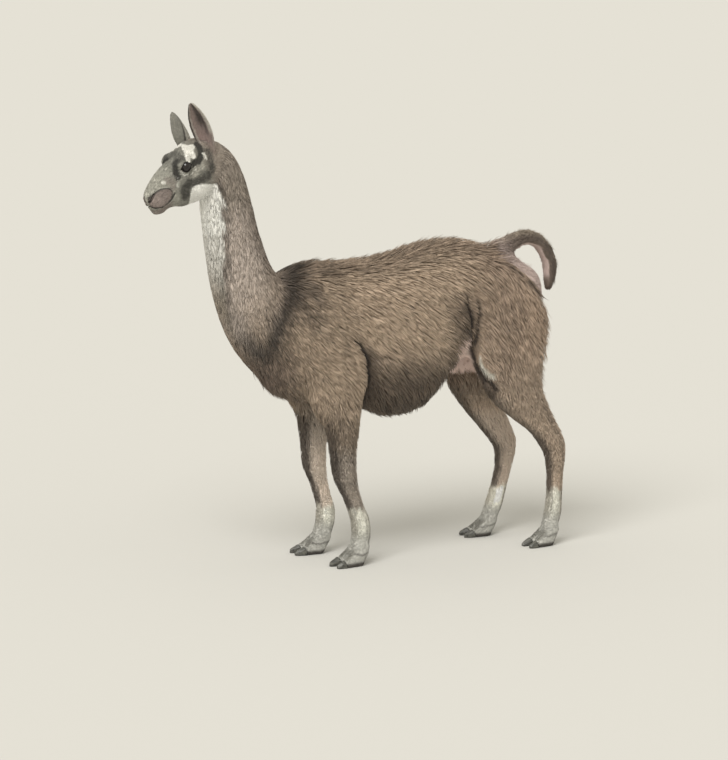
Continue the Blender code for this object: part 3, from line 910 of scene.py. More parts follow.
# The way that the hair points, for each place on the skin
def lieOfCoat(points, normals):
    side = np.sign(points[:, 0])
    top = smoothStep(0.55, 0.97, normals[:, 2])
    low = smoothStep(0.78, 0.60, points[:, 2])
    rear = smoothStep(0.40, 0.62, points[:, 1])
    front = smoothStep(-0.22, -0.40, points[:, 1])
    ones = np.ones(len(points))

    def way(x, y, z):
        return unit(np.stack([x * ones, y * ones, z * ones], axis=1))

    flank = mixTone(way(0, 0.78, -0.70), way(0, 0.36, -1.0), np.maximum(low, np.maximum(rear, front * 0.9)))
    spine = way(0.30 * side, 1.0, -0.15)
    body = mixTone(flank, spine, top)
    along = {
        "trunk": body,
        "neck": mixTone(way(0, 0.10, -1.0), way(0, 0.30, -1.0), smoothStep(0.0, 0.8, normals[:, 1])),
        "thigh": way(0, 0.26, -1.0),
        "armUpper": way(0, 0.16, -1.0),
        "shank": way(0, 0.10, -1.0),
        "foot": way(0, -0.9, -0.5),
    }
    local = toHead(points)
    cheek = smoothStep(-0.04, -0.14, local[:, 2])
    along["head"] = turnFromHead(mixTone(way(0, 1.0, 0.10), way(0, 1.0, -0.55), cheek))
    ear = np.zeros_like(points)
    for name, sign in (("left", 1), ("right", -1)):
        root, tip = (np.array(v) for v in earLook[name][:2])
        ear = np.where((local[:, 0] * sign > 0)[:, None], tip - root, ear)
    along["ear"] = turnFromHead(unit(ear))
    fromBend = points - tailBend
    along["tail"] = unit(np.stack([0.25 * side, fromBend[:, 2], -fromBend[:, 1]], axis=1))
    total = sum(belongs[:, [groups.index(name)]] * along[name] for name in groups)
    return flatOn(total, normals)


# How thickly the coat grows, from 0 to 1 of the usual
def hideFrom(points):
    local = toHead(points)
    mirror = mirrored(local)
    share = np.ones(len(points))
    inHead = belongs[:, groups.index("head")] > 0.4
    for side in (1, -1):
        gap, reach = lidDistance(local, side)[:2]
        near, edge = bareLook["eye"]
        share = np.where(inHead & (reach < eyeRadius * near) & (gap < edge), 0, share)
    for place in ("mouth", "nostril"):
        share = np.where(inHead & (lineDistance(mirror, faceLook[place]) < bareLook[place]), 0, share)
    share = np.where(points[:, 2] < bareLook["sole"], 0, share)
    share = share * (1 - bareLook["groin"] * groinShare(points, skinNormals))
    fold = nearBody(likeLeft(points), "flankFold", "innerFold", "armCrease")
    share = share * (1 - bareLook["folds"] * hump(fold, 0, 0.008))
    return share * (1 - bareLook["tail"] * tailInside(points, skinNormals))


looseLook = {
    # how far the tips of loose locks stand away, in metres, and which way
    "spine": (0.024, (0, 0.80, 0.62)),
    "hem": (0.015, (0, 0.25, -1.0)),
    "chest": (0.022, (0, -0.25, -1.0)),
    "rear": (0.028, (0, 0.80, -0.45)),
    "tail": (0.011, (0, 0, 0)),
    "nape": (0.007, (0, 0.55, -0.80)),
    "armRear": (0.007, (0, 0.60, -0.80)),
    "patchEdge": (0.012, (0.2, 0.90, 0.10)),
    "clump": 0.028,
}


# How far the locks stand out of the coat, and which way, for each point of the skin
def looseFields(points, normals):
    x, y, z = points.T
    onTrunk = part("trunk")
    rear = smoothStep(0.25, 0.75, normals[:, 1]) * smoothStep(0.55, 0.70, y) * smoothStep(0.42, 0.60, z)
    patch = patchShare(points)
    shares = {
        "spine": onTrunk * smoothStep(0.72, 0.96, normals[:, 2]) * smoothStep(-0.36, -0.22, y),
        "hem": (onTrunk * smoothStep(0.72, 0.63, z - 0.14 * smoothStep(0.20, 0.36, y))
                * smoothStep(0.0, 0.08, y) * smoothStep(0.44, 0.38, y)),
        "chest": onTrunk * smoothStep(0.84, 0.74, z) * smoothStep(-0.16, -0.26, y),
        "rear": part("trunk", "thigh") * rear * (1 - patch),
        "tail": part("tail") * (1 - tailInside(points, normals)),
        "nape": part("neck") * smoothStep(0.2, 0.8, normals[:, 1]),
        "armRear": part("armUpper") * smoothStep(0.3, 0.9, normals[:, 1]),
        "patchEdge": onTrunk * hump(nearBody(likeLeft(points), "patchEdge"), 0, 0.014) * (1 - patch),
    }
    amount = np.zeros(len(points))
    way = np.zeros_like(points)
    for name, share in shares.items():
        reach, where = looseLook[name]
        where = np.tile(unit(np.array(where, float)), (len(points), 1))
        if name == "tail":
            where = unit(unit((points - tailBend) * (0, 1, 1)) + 1.1 * flow)
        if name == "patchEdge":
            where = where * np.stack([np.sign(x), np.ones(len(x)), np.ones(len(x))], axis=1)
        amount += reach * share
        way += where * (reach * share)[:, None]
    return amount, way / np.maximum(amount, 1e-6)[:, None]


flow = lieOfCoat(skinPoints, skinNormals)
flow = flatOn(smoothOver(flow, skinFaces, smoothing["flow"]), skinNormals)
thickness = hideFrom(skinPoints)
looseAmount, looseWay = looseFields(skinPoints, skinNormals)
print("lie of the coat is set")


# markings: one function gives the colour of the skin and of every tuft

markings = {
    "back": tone(167, 148, 130),
    "flank": tone(197, 176, 155),
    "rump": tone(170, 149, 132),
    "shoulderBand": tone(51, 44, 39),
    "chest": tone(131, 115, 103),
    # the belly's own dark colour, also laid on as painted shade behind the arm and by the folds of the
    # flank
    "bellyAndShade": tone(70, 60, 52),
    "neckSide": tone(204, 191, 181),
    "neckBack": tone(159, 147, 138),
    "neckTop": tone(163, 152, 141),
    "facePale": tone(194, 190, 180),
    "throat": tone(254, 253, 248),
    "throatLow": tone(148, 138, 126),
    "tail": tone(112, 100, 91),
    "arm": tone(146, 132, 118),
    # painted shade on the front of the upper forelegs; also the dark line beside the white throat
    "armFront": tone(81, 72, 65),
    "thigh": tone(192, 173, 155),
    # painted shade on the front of the thighs
    "thighFront": tone(99, 89, 80),
    "shank": tone(246, 245, 234),
    # painted shade on the shanks' front and back edges and along their tendons
    "shankShade": tone(142, 134, 121),
    "foot": tone(189, 188, 182),
    "sole": tone(84, 80, 76),
    "toeTop": tone(112, 110, 102),
    "face": tone(172, 170, 160),
    "faceDark": tone(78, 76, 71),
    "white": tone(250, 248, 241),
    "lip": tone(159, 146, 140),
    "lipRim": tone(54, 48, 45),
    "earInside": tone(144, 129, 123),
    # dark marks inside the ears, and the painted shadow of the folded front edge on their backs
    "earDarkAndShadow": tone(57, 52, 49),
    "earBack": tone(146, 144, 136),
    # the groin's pink skin, painted lighter to offset the shade that it lies in
    "groin": tone(232, 209, 200),
    "bare": tone(189, 161, 154),
    # painted shade in the folds of the flank and behind the arm; also a dark rim in front of the pale patch
    "crease": tone(46, 39, 35),
    "patch": tone(196, 178, 172),
    "tailFringe": tone(150, 138, 124),
}
# the white patch of the brow, as spots with their radii
browPatch = (
    ((0.008, -0.094, 0.028), 0.011),
    ((0.020, -0.098, 0.026), 0.015),
    ((0.034, -0.080, 0.019), 0.013),
    ((0.040, -0.104, 0.012), 0.020),
    ((0.056, -0.102, -0.003), 0.013),
    ((0.052, -0.126, 0.004), 0.012),
    ((0.062, -0.134, -0.004), 0.010),
)
# the upper edge of the white throat, by its place along the head
throatEdge = {"along": (-0.188, -0.180, -0.174, -0.158, -0.140, -0.108, -0.074, -0.050, 0.0),
              "height": (-0.30, -0.175, -0.136, -0.112, -0.110, -0.122, -0.145, -0.158, -0.18)}


# Lay tones over a colour, one after another, each by its share at each point
def layTones(colour, *layers):
    for name, share in layers:
        colour = mixTone(colour, markings[name] if isinstance(name, str) else name, share)
    return colour


def spot(points, place, inner, outer):
    return smoothStep(outer, inner, lineDistance(points, facePlaces[place]))


def belowThroatEdge(local):
    edge = np.interp(local[:, 1], throatEdge["along"], throatEdge["height"])
    return smoothStep(0.004, -0.004, local[:, 2] - edge)


def faceColour(points):
    local = toHead(points)
    mirror = mirrored(local)
    y, z = local[:, 1], local[:, 2]
    ragged = mirror + (0.007 * ripple(points, 0.005, 3) + 0.006 * ripple(points, 0.012, 8))[:, None]
    even = mirror + 0.003 * ripple(points, 0.005, 3)[:, None]
    darkest = markings["faceDark"] * 0.62
    worn = 0.52 + 0.42 * smoothStep(0.25, 0.60, grain(points, 0.006, 21))
    fine = smoothStep(0.40, 0.62, grain(points, 0.0045, 5))
    # the cheeks and the brow are darker than the muzzle, and the back of the head is browner
    colour = layTones(
        markings["face"],
        ("neckTop", smoothStep(-0.10, -0.02, y)),
        ("faceDark", 0.36 * smoothStep(-0.235, -0.19, y) * smoothStep(-0.02, -0.10, y)),
        ("lip", 0.45 * spot(ragged, "noseSide", 0.006, 0.022)),
        ("faceDark", 0.60 * spot(ragged, "brow", 0.008, 0.020)),
        ("faceDark", 0.85 * spot(ragged, "farBrow", 0.005, 0.013)),
        ("faceDark", spot(ragged, "cheek", 0.009, 0.026) * worn),
        ("faceDark", 0.9 * spot(ragged, "jaw", 0.008, 0.024) * worn),
        ("facePale", spot(ragged, "behindEye", 0.008, 0.022) * (0.35 + 0.6 * fine)),
        (darkest, 0.95 * spot(ragged, "stripe", 0.008, 0.015)),
        (darkest, 0.96 * spot(ragged, "band", 0.010, 0.016)),
        ("white", 0.80 * spot(ragged, "ring", 0.002, 0.009) * fine),
        ("white", 0.65 * spot(ragged, "specks", 0.001, 0.008) * fine))
    # the markings are mottled with paler and darker hairs
    mottle = 1 + 0.34 * ripple(points, 0.0035, 31) + 0.20 * ripple(points, 0.010, 33)
    colour = colour * mottle[:, None]
    patch = np.max([smoothStep(size + 0.002, size - 0.002, np.linalg.norm(even - place, axis=1))
                    for place, size in browPatch], axis=0)
    ring = padRing(mirror)
    aside = smoothStep(0.004, 0.010, mirror[:, 0])
    lip = markings["lip"] * (1 + 0.25 * ripple(points, 0.004, 35))[:, None]
    ahead = hump(mirror[:, 0], 0.008, 0.006) * smoothStep(1.0, 0.8, ring) * smoothStep(-0.31, -0.325, y)
    # the lower lip and the chin are brown-grey
    chin = smoothStep(-0.114, -0.122, z) * smoothStep(-0.235, -0.265, y)
    mouth = lineDistance(mirror, faceLook["mouth"])
    nostril = lineDistance(mirror, faceLook["nostril"])
    colour = layTones(
        colour,
        ("white", patch),
        ("white", 0.95 * spot(ragged, "earSpot", 0.005, 0.010)),
        ("white", 0.80 * spot(mirror, "noseSpot", 0.004, 0.009)),
        ("white", 0.50 * spot(mirror, "noseFleck", 0.002, 0.007)),
        (lip, smoothStep(1.04, 0.94, ring) * aside),
        ("lipRim", 0.85 * hump(ring, 1.02, 0.09) * aside),
        ("lipRim", 0.75 * ahead),
        (markings["lip"] * 0.85, 0.8 * chin),
        (markings["lipRim"] * 0.35, np.exp(-(mouth / 0.0045) ** 4)),
        (markings["lipRim"] * 0.30, np.exp(-(nostril / 0.0055) ** 4)))
    for side in (1, -1):
        gap, reach = lidDistance(local, side)[:2]
        lid = (reach < eyeRadius * 1.7) * smoothStep(14, 6, gap)
        colour = mixTone(colour, markings["lipRim"] * 0.22, lid)
    return mixTone(colour, markings["throat"], belowThroatEdge(even))


def neckColour(points, normals):
    height = points[:, 2]
    ahead = normals[:, 1]
    local = toHead(points)
    # the throat is white, and from a ragged line down it greys. A dark line runs beside it
    edge = -0.24 - 0.50 * smoothStep(1.42, 1.0, height) + 0.12 * ripple(points, 0.02, 4)
    ragged = height + 0.02 * ripple(points, 0.010, 23)
    lower = 0.28 * smoothStep(1.320, 1.298, ragged) + 0.72 * smoothStep(1.27, 1.02, height)
    # painted light: the front of the lower throat is painted brighter
    light = 1 + 0.35 * smoothStep(1.26, 1.0, height) * smoothStep(-0.80, -0.97, ahead)
    white = mixTone(markings["throat"], markings["throatLow"], lower) * light[:, None]
    share = smoothStep(edge, edge - 0.09, ahead) * (1 - 0.7 * smoothStep(1.02, 0.88, height))
    under = smoothStep(1.40, 1.44, height) * smoothStep(-0.046, -0.056, local[:, 1])
    return layTones(
        markings["neckSide"],
        ("neckBack", smoothStep(-0.1, 0.7, ahead)),
        ("neckTop", smoothStep(1.33, 1.47, height)),
        ("armFront", 0.55 * hump(ahead, edge + 0.02, 0.11) * smoothStep(0.95, 1.05, height)),
        (white, np.maximum(share, under * belowThroatEdge(local))))


def trunkColour(points, normals):
    left = likeLeft(points)
    x, y, z = left.T
    rough = 0.03 * ripple(points, 0.05, 6)
    colour = layTones(
        markings["flank"],
        ("back", smoothStep(0.5, 0.95, normals[:, 2])),
        ("rump", 0.8 * smoothStep(0.35, 0.60, y + rough)))
    # the belly darkens downwards, partly its own colour and partly painted shade, and a painted shadow of
    # the arm lies on the belly behind it
    behind = y - atHeight("armRear", z)
    shadow = smoothStep(1.0, 0.0, (behind + rough) / atHeight("armShadow", z))
    shadow = shadow * (behind > -0.004) * smoothStep(0.91, 0.84, z)
    low = smoothStep(0.86, 0.68, z + rough) * smoothStep(-0.02, 0.02, behind) * smoothStep(0.46, 0.36, y)
    # painted light and shade: the front of the trunk is darker and its rear lighter
    light = 1 - 0.13 * smoothStep(0.0, -0.10, y + rough) + 0.20 * smoothStep(0.62, 0.70, y)
    # painted shade under the arm, between the forelegs
    underArmShade = smoothStep(0.70, 0.60, z + rough) * smoothStep(0.0, -0.10, y) * smoothStep(0.11, 0.06, x)
    band = hump(nearBody(left, "shoulderBand"), 0, 0.058 + rough)
    band = np.maximum(band, 0.92 * hump(nearBody(left, "neckEdge"), 0, 0.054 + rough / 2))
    behindBand = hump(nearBody(left, "bandRear"), 0, 0.045)
    behindBand *= smoothStep(0.30, 0.60, grain(points, 0.022, 17))
    colour = layTones(
        colour * light[:, None],
        ("bellyAndShade", np.maximum(0.80 * low, 0.95 * shadow)),
        ("chest", smoothStep(-0.20, -0.34, y + rough) * smoothStep(0.92, 0.76, z)),
        ("chest", 0.8 * underArmShade),
        ("shoulderBand", 0.95 * band),
        ("shoulderBand", 0.50 * behindBand))
    return foldColour(colour, points, normals)


# Dark folds of the flank and behind the arm, painted as shade in and around them, the pink groin, and the
# pale patch under the tail
def foldColour(colour, points, normals):
    left = likeLeft(points)
    y, z = left[:, 1], left[:, 2]
    ragged = left + 0.004 * ripple(points, 0.008, 7)[:, None]
    before = atHeight("flankFold", z) - y
    flank, inner = nearBody(left, "flankFold"), nearBody(left, "innerFold")
    wide = 0.005 + 0.006 * smoothStep(0.74, 0.69, z)
    gap = beyondPatch(points) + 0.010 * ripple(points, 0.008, 7)
    rear = smoothStep(0.59, 0.61, points[:, 1]) * smoothStep(0.93, 0.96, points[:, 2])
    rim = hump(gap, 0.016, 0.015) * rear * smoothStep(0.2, 0.6, grain(points, 0.014, 12))
    # painted shade: the flank darkens in front of its fold and between the two folds, and the folds are
    # painted dark. A dark ragged rim runs in front of the pale patch
    return layTones(
        colour,
        ("bellyAndShade", 0.75 * smoothStep(0.150, 0.0, flank) * (before > -0.01) * smoothStep(1.04, 0.94, z)),
        ("groin", pinkPlace(points, normals)),
        ("bellyAndShade", 0.35 * smoothStep(0.075, 0.050, flank + inner)),
        ("crease", 0.95 * hump(nearBody(ragged, "flankFold"), 0, 0.0105)),
        ("crease", 0.95 * hump(nearBody(ragged, "innerFold"), 0, 0.008)),
        ("crease", 0.95 * hump(nearBody(ragged, "armCrease"), 0, 0.009)),
        (markings["shank"] * 0.8, 0.8 * hump(nearBody(ragged, "paleStreak"), 0, wide)),
        ("crease", 0.80 * rim),
        ("patch", smoothStep(0.004, -0.005, gap) * rear))


def tailColour(points, normals):
    inward = np.sum(unit((tailBend - points) * (0, 1, 1)) * normals, axis=1)
    pink = smoothStep(0.50, 0.66, inward) * smoothStep(0.60, 0.64, points[:, 1])
    pink *= smoothStep(0.995, 1.030, points[:, 2])
    return layTones(markings["tail"], ("tailFringe", smoothStep(-0.3, -0.95, inward)), ("patch", pink))


def legColour(points, normals, low, front, plain):
    x, y, z = points.T
    hind = y > 0.3
    # painted light: the legs, the forelegs most, are lighter below, to offset the shade under the body
    paintedLegLight = 1 + np.where(hind, 0.05 * smoothStep(0.60, 0.42, z), 0.75 * smoothStep(0.56, 0.34, z))
    # painted light and shade: the right legs are lighter below, to offset the body's shadow on them, and
    # the right thigh is painted darker above
    paintedLegLight = paintedLegLight * np.where(x < 0, np.where(hind, 1.35 - 0.77 * smoothStep(0.46, 0.62, z), 1.85), 1.0)
    colour = markings[plain] * paintedLegLight[:, None]
    grey = colour.mean(axis=1, keepdims=True)
    grooveShade = hump(normals[:, 1], 0.42, 0.13) * (normals[:, 0] * x > 0) * smoothStep(0.16, 0.24, z)
    # where the painted light is strongest the colour greys; painted shade darkens a line along a groove of
    # the leg, and the front of the leg
    return layTones(
        colour,
        (grey, 0.35 * smoothStep(1.1, 1.6, paintedLegLight)),
        (front, 0.45 * grooveShade * smoothStep(0.66, 0.56, z)),
        (front, 0.9 * smoothStep(-0.20, -0.80, normals[:, 1]) * low))


def shankColour(points, normals):
    x, y, z = points.T
    ahead = normals[:, 1]
    foreLeg, isLeft = y < 0.3, x > 0
    ragged = z + 0.03 * ripple(points * (1, 1, 0.4), 0.012, 9)
    brownEnds = np.where(foreLeg, np.where(isLeft, 0.222, 0.185), np.where(isLeft, 0.215, 0.192))
    foreUpper = legColour(points, normals, 1.0, "armFront", "arm")
    hindUpper = legColour(points, normals, 1.0, "thighFront", "thigh")
    # painted shade: the shank darkens towards its front and back edges, and along the lines of its tendons
    colour = layTones(
        markings["shank"],
        ("shankShade", 0.7 * smoothStep(0.25, 0.9, np.abs(ahead))),
        (markings["shankShade"] * 0.7, 0.45 * (hump(ahead, 0.30, 0.11) + hump(ahead, -0.45, 0.10))))
    # painted light: the right shanks are lighter, to offset the body's shadow on them
    colour = colour * np.where(isLeft, 1.0, np.where(foreLeg, 1.2, 1.5))[:, None]
    # the hind cannons have a brown stripe behind
    behind = smoothStep(0.25, 0.6, ahead) * ~foreLeg * smoothStep(0.06, 0.10, ragged)
    return layTones(
        colour,
        (markings["arm"] * 0.75, 0.7 * behind),
        (np.where(foreLeg[:, None], foreUpper, hindUpper),
         smoothStep(brownEnds - 0.012, brownEnds + 0.012, ragged)))


def footColour(points, normals):
    z = points[:, 2]
    rim = hump(z, 0.036 + 0.016 * grain(points, 0.03, 5), 0.0035) * smoothStep(0.75, 0.55, normals[:, 2])
    heel = smoothStep(0.45, 0.85, normals[:, 1]) * smoothStep(0.05, 0.09, z)
    return layTones(
        markings["foot"] * (1 + 0.3 * ripple(points, 0.006, 41))[:, None],
        ("sole", np.maximum(0.60 * rim, 0.45 * heel)),
        ("toeTop", 0.75 * smoothStep(0.45, 0.80, normals[:, 2]) * smoothStep(0.08, 0.05, z)),
        ("sole", smoothStep(0.022, 0.010, z)))


# Share along an ear from its root, and the place across it from its front edge (-1) to its rear edge (1)
def earPlace(local, name):
    root, tip, opening = (np.array(v, float) for v in earLook[name][:3])
    axis = (tip - root) / np.linalg.norm(tip - root)
    facing = opening - axis * (axis @ opening)
    rearward = np.cross(axis, facing / np.linalg.norm(facing))
    rearward = rearward * np.sign(rearward[1])
    along = (local - root) @ axis / np.linalg.norm(tip - root)
    halfWidth = earLook["halfWidth"] * np.interp(along, *earLook["outline"])
    return along, (local - root) @ rearward / halfWidth


def earColour(points, normals):
    local = toHead(points)
    colour = markings["earBack"]
    for name, sign in (("left", 1), ("right", -1)):
        along, over = earPlace(local + 0.003 * ripple(points, 0.006, 15)[:, None], name)
        # behind, a painted shadow of the folded front edge runs as a dark line beside a paler lobe
        low = smoothStep(0.72, 0.62, along)
        line = np.interp(along, *earLook["backLine"])
        back = layTones(
            markings["earBack"],
            ("earDarkAndShadow", 0.9 * low * hump(over, line, 0.13)),
            ("facePale", 0.6 * low * smoothStep(line + 0.12, line + 0.26, over)))
        # inside, the middle is dark, the root is pink, and the rims are pale
        inner = layTones(
            markings["earInside"],
            ("earDarkAndShadow", 0.85 * hump(over, 0.20, 0.36) * smoothStep(0.36, 0.62, along)),
            ("earDarkAndShadow", 0.75 * hump(over, 0.50, 0.16) * smoothStep(0.20, 0.40, along)),
            (markings["bare"] * 0.55, 0.36 * smoothStep(0.50, 0.34, along) * smoothStep(0.45, 0.25, over)),
            ("facePale", 0.85 * smoothStep(0.66, 0.84, over) * smoothStep(0.28, 0.40, along)),
            ("facePale", 0.5 * smoothStep(-0.70, -0.80, over) * smoothStep(-0.96, -0.90, over)),
            ("earDarkAndShadow", 0.9 * smoothStep(-0.90, -0.98, over)))
        opening = unit(np.array(earLook[name][2]))
        inside = smoothStep(0.0, 0.45, normals @ headTurnArray @ opening)
        own = local[:, 0] * sign > 0
        colour = np.where(own[:, None], mixTone(back, inner, inside), colour)
    return colour


def coatColour(points, normals, belong):
    thigh = legColour(points, normals, smoothStep(0.75, 0.55, points[:, 2]), "thighFront", "thigh")
    parts = {
        "trunk": trunkColour(points, normals),
        "neck": neckColour(points, normals),
        "head": faceColour(points),
        "ear": earColour(points, normals),
        "tail": tailColour(points, normals),
        "armUpper": legColour(points, normals, 1.0, "armFront", "arm"),
        "thigh": foldColour(thigh, points, normals),
        "shank": shankColour(points, normals),
        "foot": footColour(points, normals),
    }
    return sum(belong[:, [groups.index(name)]] * parts[name] for name in groups)


def setColours(mesh, colours):
    attribute = mesh.color_attributes.new("coatColour", "FLOAT_COLOR", "POINT")
    four = np.concatenate([np.clip(colours, 0, 1), np.ones((len(colours), 1))], axis=1)
    attribute.data.foreach_set("color", four.astype(np.float32).ravel())
    mesh.attributes.active_color = attribute


skinColours = coatColour(skinPoints, skinNormals, belongs)
# under long dark hair the skin is in shadow
underShade = smoothStep(0.012, 0.040, lengthField) * smoothStep(0.75, 0.30, skinColours.mean(axis=1))
setColours(skin.data, skinColours * (1 - 0.32 * underShade)[:, None])
print("skin is marked")


# tufts: thin tapered locks that lie along the skin

tuftLook = {
    "seed": 11,
    "lengthSpread": 0.30,
    "toneSpread": 0.18,
    "clumpSpread": 0.34,
    "darkShare": 0.16,
    "darkShade": 0.62,
    "lockSize": 0.020,
    "gather": 0.50,
    "arch": (0.30, 0.55),         # height of a tuft in half widths, when short and when long
    "stray": 0.25,                # how far loose tips stray from their lock's way
    "rootShade": 0.70,
    "tipLight": 1.09,
    "wander": 0.16,
    "clumpWander": 0.22,
    "neckWander": 0.15,           # share of the wander that the neck's hair keeps
    "widths": (0.75, 1.25),
    "rises": (0.80, 1.30),        # height of the tips over the skin, in depths of the coat
    "sink": 0.0012,               # of the root under the skin
    "middleRise": 0.65,           # height of the middle, in heights of the tip
    "stands": (0.45, 1.5),        # how far a loose tuft's middle and tip stand away, in shares of the reach
    "drawnBack": 0.2,             # what is left of a tuft that would cross an eye
    "body": (0.80, 0.35, 0.45),   # width at the root, what the middle adds, and what the tip loses
    "looseShade": 0.35,
    "middleLight": 0.95,
    "calmWhite": 0.88,            # how much less white hair varies
    "patch": 0.0028,              # size of a tuft on the bake map
}
skinTree = BVHTree.FromPolygons(skinPoints.tolist(), skinFaces.tolist())


def onSkin(points):
    found = [skinTree.find_nearest(p) for p in points.tolist()]
    place = np.array([f[0] for f in found])
    normal = np.array([f[1] for f in found])
    return place, normal, np.array([f[2] for f in found])


# An unwrap of part of the skin: the corners' places for each of its triangles
def unwrapOf(faceIndexes):
    used, compact = np.unique(skinFaces[faceIndexes], return_inverse=True)
    mesh = bpy.data.meshes.new("patch")
    mesh.from_pydata(skinPoints[used].tolist(), [], compact.reshape(-1, 3).tolist())
    patch = newPiece("patch", mesh)
    chooseOnly(patch)
    bpy.ops.object.mode_set(mode="EDIT")
    bpy.ops.mesh.select_all(action="SELECT")
    bpy.ops.uv.smart_project(angle_limit=math.radians(66), island_margin=0.004)
    bpy.ops.object.mode_set(mode="OBJECT")
    places = np.zeros(len(mesh.loops) * 2, np.float32)
    mesh.uv_layers[0].data.foreach_get("uv", places)
    bpy.data.objects.remove(patch)
    return np.clip(places.reshape(-1, 3, 2), 0.003, 0.997)


# Draw the tips of neighbouring long tufts together into locks. Also gives each lock a number from 0 to 1
def gatherTips(root, tip, length):
    size = tuftLook["lockSize"]
    shift = np.stack([grain(root, size * 2.5, 20 + k) for k in range(3)], axis=1) - 0.5
    cell = np.floor((root + shift * size * 1.5) / size).astype(np.int64)
    cell = cell - cell.min(axis=0)
    key = (cell[:, 0] * 1000 + cell[:, 1]) * 1000 + cell[:, 2]
    _, lock = np.unique(key, return_inverse=True)
    count = np.bincount(lock)
    centre = np.stack([np.bincount(lock, tip[:, k]) / count for k in range(3)], axis=1)
    share = tuftLook["gather"] * smoothStep(0.018, 0.045, length)
    pull = (centre[lock] - tip) * share[:, None]
    number = ((lock * 2654435761) % 1000) / 1000
    return tip + pull, number


# Where tufts take root: a triangle for each, and its weights on the triangle's corners
def scatterRoots(corners, count, random):
    a, b, c = (skinPoints[corners[:, k]] for k in range(3))
    area = np.linalg.norm(np.cross(b - a, c - a), axis=1) / 2
    density = area * thickness[corners].mean(axis=1)
    density = density / np.maximum(lengthField[corners].mean(axis=1), 0.006) ** 0.7
    chosen = random.choice(len(corners), count, p=density / density.sum())
    u, v = random.random(count), random.random(count)
    over = u + v > 1
    u, v = np.where(over, 1 - u, u), np.where(over, 1 - v, v)
    return chosen, np.stack([1 - u - v, u, v], axis=1)


# Lay tufts along the skin. bring gives a field's values at their roots
def layTufts(bring, count, random):
    root, normal = bring(skinPoints), unit(bring(skinNormals))
    way = flatOn(bring(flow), normal)
    across = np.cross(normal, way)
    length = bring(lengthField) * (1 + tuftLook["lengthSpread"] * random.uniform(-1, 1, count))
    width = bring(widthField) * random.uniform(*tuftLook["widths"], count)
    depth = bring(depthField)
    wander = tuftLook["wander"] * random.uniform(-1, 1, count)
    wander += tuftLook["clumpWander"] * (grain(root, 0.035, 1) * 2 - 1)
    wander = wander * (1 - (1 - tuftLook["neckWander"]) * bring(belongs)[:, groups.index("neck")])
    rise = random.uniform(*tuftLook["rises"], count)
    way = unit(way + across * wander[:, None])
    middle, middleNormal, face = onSkin(root + way * (0.5 * length)[:, None])
    onward = flatOn(unit(flow[skinFaces[face]].mean(axis=1)) + across * wander[:, None], middleNormal)
    tip, tipNormal, _ = onSkin(middle + onward * (0.5 * length)[:, None])
    colour = coatColour(middle, middleNormal, belongs[skinFaces[face]].mean(axis=1))
    middle = middle + middleNormal * (tuftLook["middleRise"] * depth * rise)[:, None]
    tip = tip + tipNormal * (depth * rise)[:, None]
    # some tips stand away in loose locks
    freeWay = unit(bring(looseWay) + tuftLook["stray"] * random.uniform(-1, 1, (count, 3)))
    loose = random.random(count) ** 2 * smoothStep(0.25, 0.70, grain(root, looseLook["clump"], 14))
    stand = bring(looseAmount) * loose
    middleStand, tipStand = tuftLook["stands"]
    tip = tip + freeWay * (stand * tipStand)[:, None]
    middle = middle + freeWay * (stand * middleStand)[:, None]
    tip, lock = gatherTips(root, tip, length)
    # tufts that would cross an eye are drawn back
    for side in (1, -1):
        gap, reach = lidDistance(toHead(tip), side)[:2]
        onEye = ((gap < 3) & (reach < eyeRadius * 1.35))[:, None]
        tip = np.where(onEye, root + (tip - root) * tuftLook["drawnBack"], tip)
        middle = np.where(onEye, root + (middle - root) * tuftLook["drawnBack"], middle)
    return {"root": root - normal * tuftLook["sink"], "middle": middle, "tip": tip, "normal": normal,
            "length": length, "width": width, "colour": colour, "stand": stand, "lock": lock}


# The points of every tuft: three round its spine at each ring, and the tip
def shapeTufts(tufts, rings):
    root, tip, width = tufts["root"], tufts["tip"], tufts["width"]
    bulge = 2 * tufts["middle"] - 0.5 * (root + tip)
    tangent = unit(tip - root)
    sideways = unit(np.cross(tangent, tufts["normal"]))
    upward = np.cross(sideways, tangent)
    arch = between(*tuftLook["arch"], smoothStep(0.012, 0.040, tufts["length"]))
    base, swell, taper = tuftLook["body"]
    points = []
    for t in np.linspace(0, 1, rings + 1)[:-1]:
        centre = root * (1 - t) ** 2 + bulge * 2 * t * (1 - t) + tip * t * t
        half = width * (base + swell * math.sin(math.pi * t)) * (1 - taper * t) / 2
        points += [centre - sideways * half[:, None], centre + upward * (arch * half)[:, None],
                   centre + sideways * half[:, None]]
    return np.stack(points + [tip], axis=1)


# The colours of every tuft's points, from its shaded root to its light tip
def shadeTufts(tufts, rings, count, random):
    colour = tufts["colour"]
    shade = 1 + tuftLook["toneSpread"] * random.uniform(-1, 1, count)
    shade *= 1 + tuftLook["clumpSpread"] * (tufts["lock"] - 0.5)
    shade *= np.where(random.random(count) < tuftLook["darkShare"], tuftLook["darkShade"], 1.0)
    shade *= 1 - tuftLook["looseShade"] * smoothStep(0.004, 0.016, tufts["stand"])
    # white hair and short hair vary less
    calm = 1 - tuftLook["calmWhite"] * smoothStep(0.22, 0.62, colour.mean(axis=1))
    calm = calm * (0.75 + 0.25 * smoothStep(0.012, 0.035, tufts["length"]))
    shade = 1 + (shade - 1) * calm
    middles = [tuftLook["middleLight"]] * (3 * (rings - 1))
    fade = np.array([tuftLook["rootShade"]] * 3 + middles + [tuftLook["tipLight"]])
    fade = 1 + (fade[None] - 1) * (0.35 + 0.65 * calm[:, None])
    return colour[:, None, :] * shade[:, None, None] * fade[:, :, None]


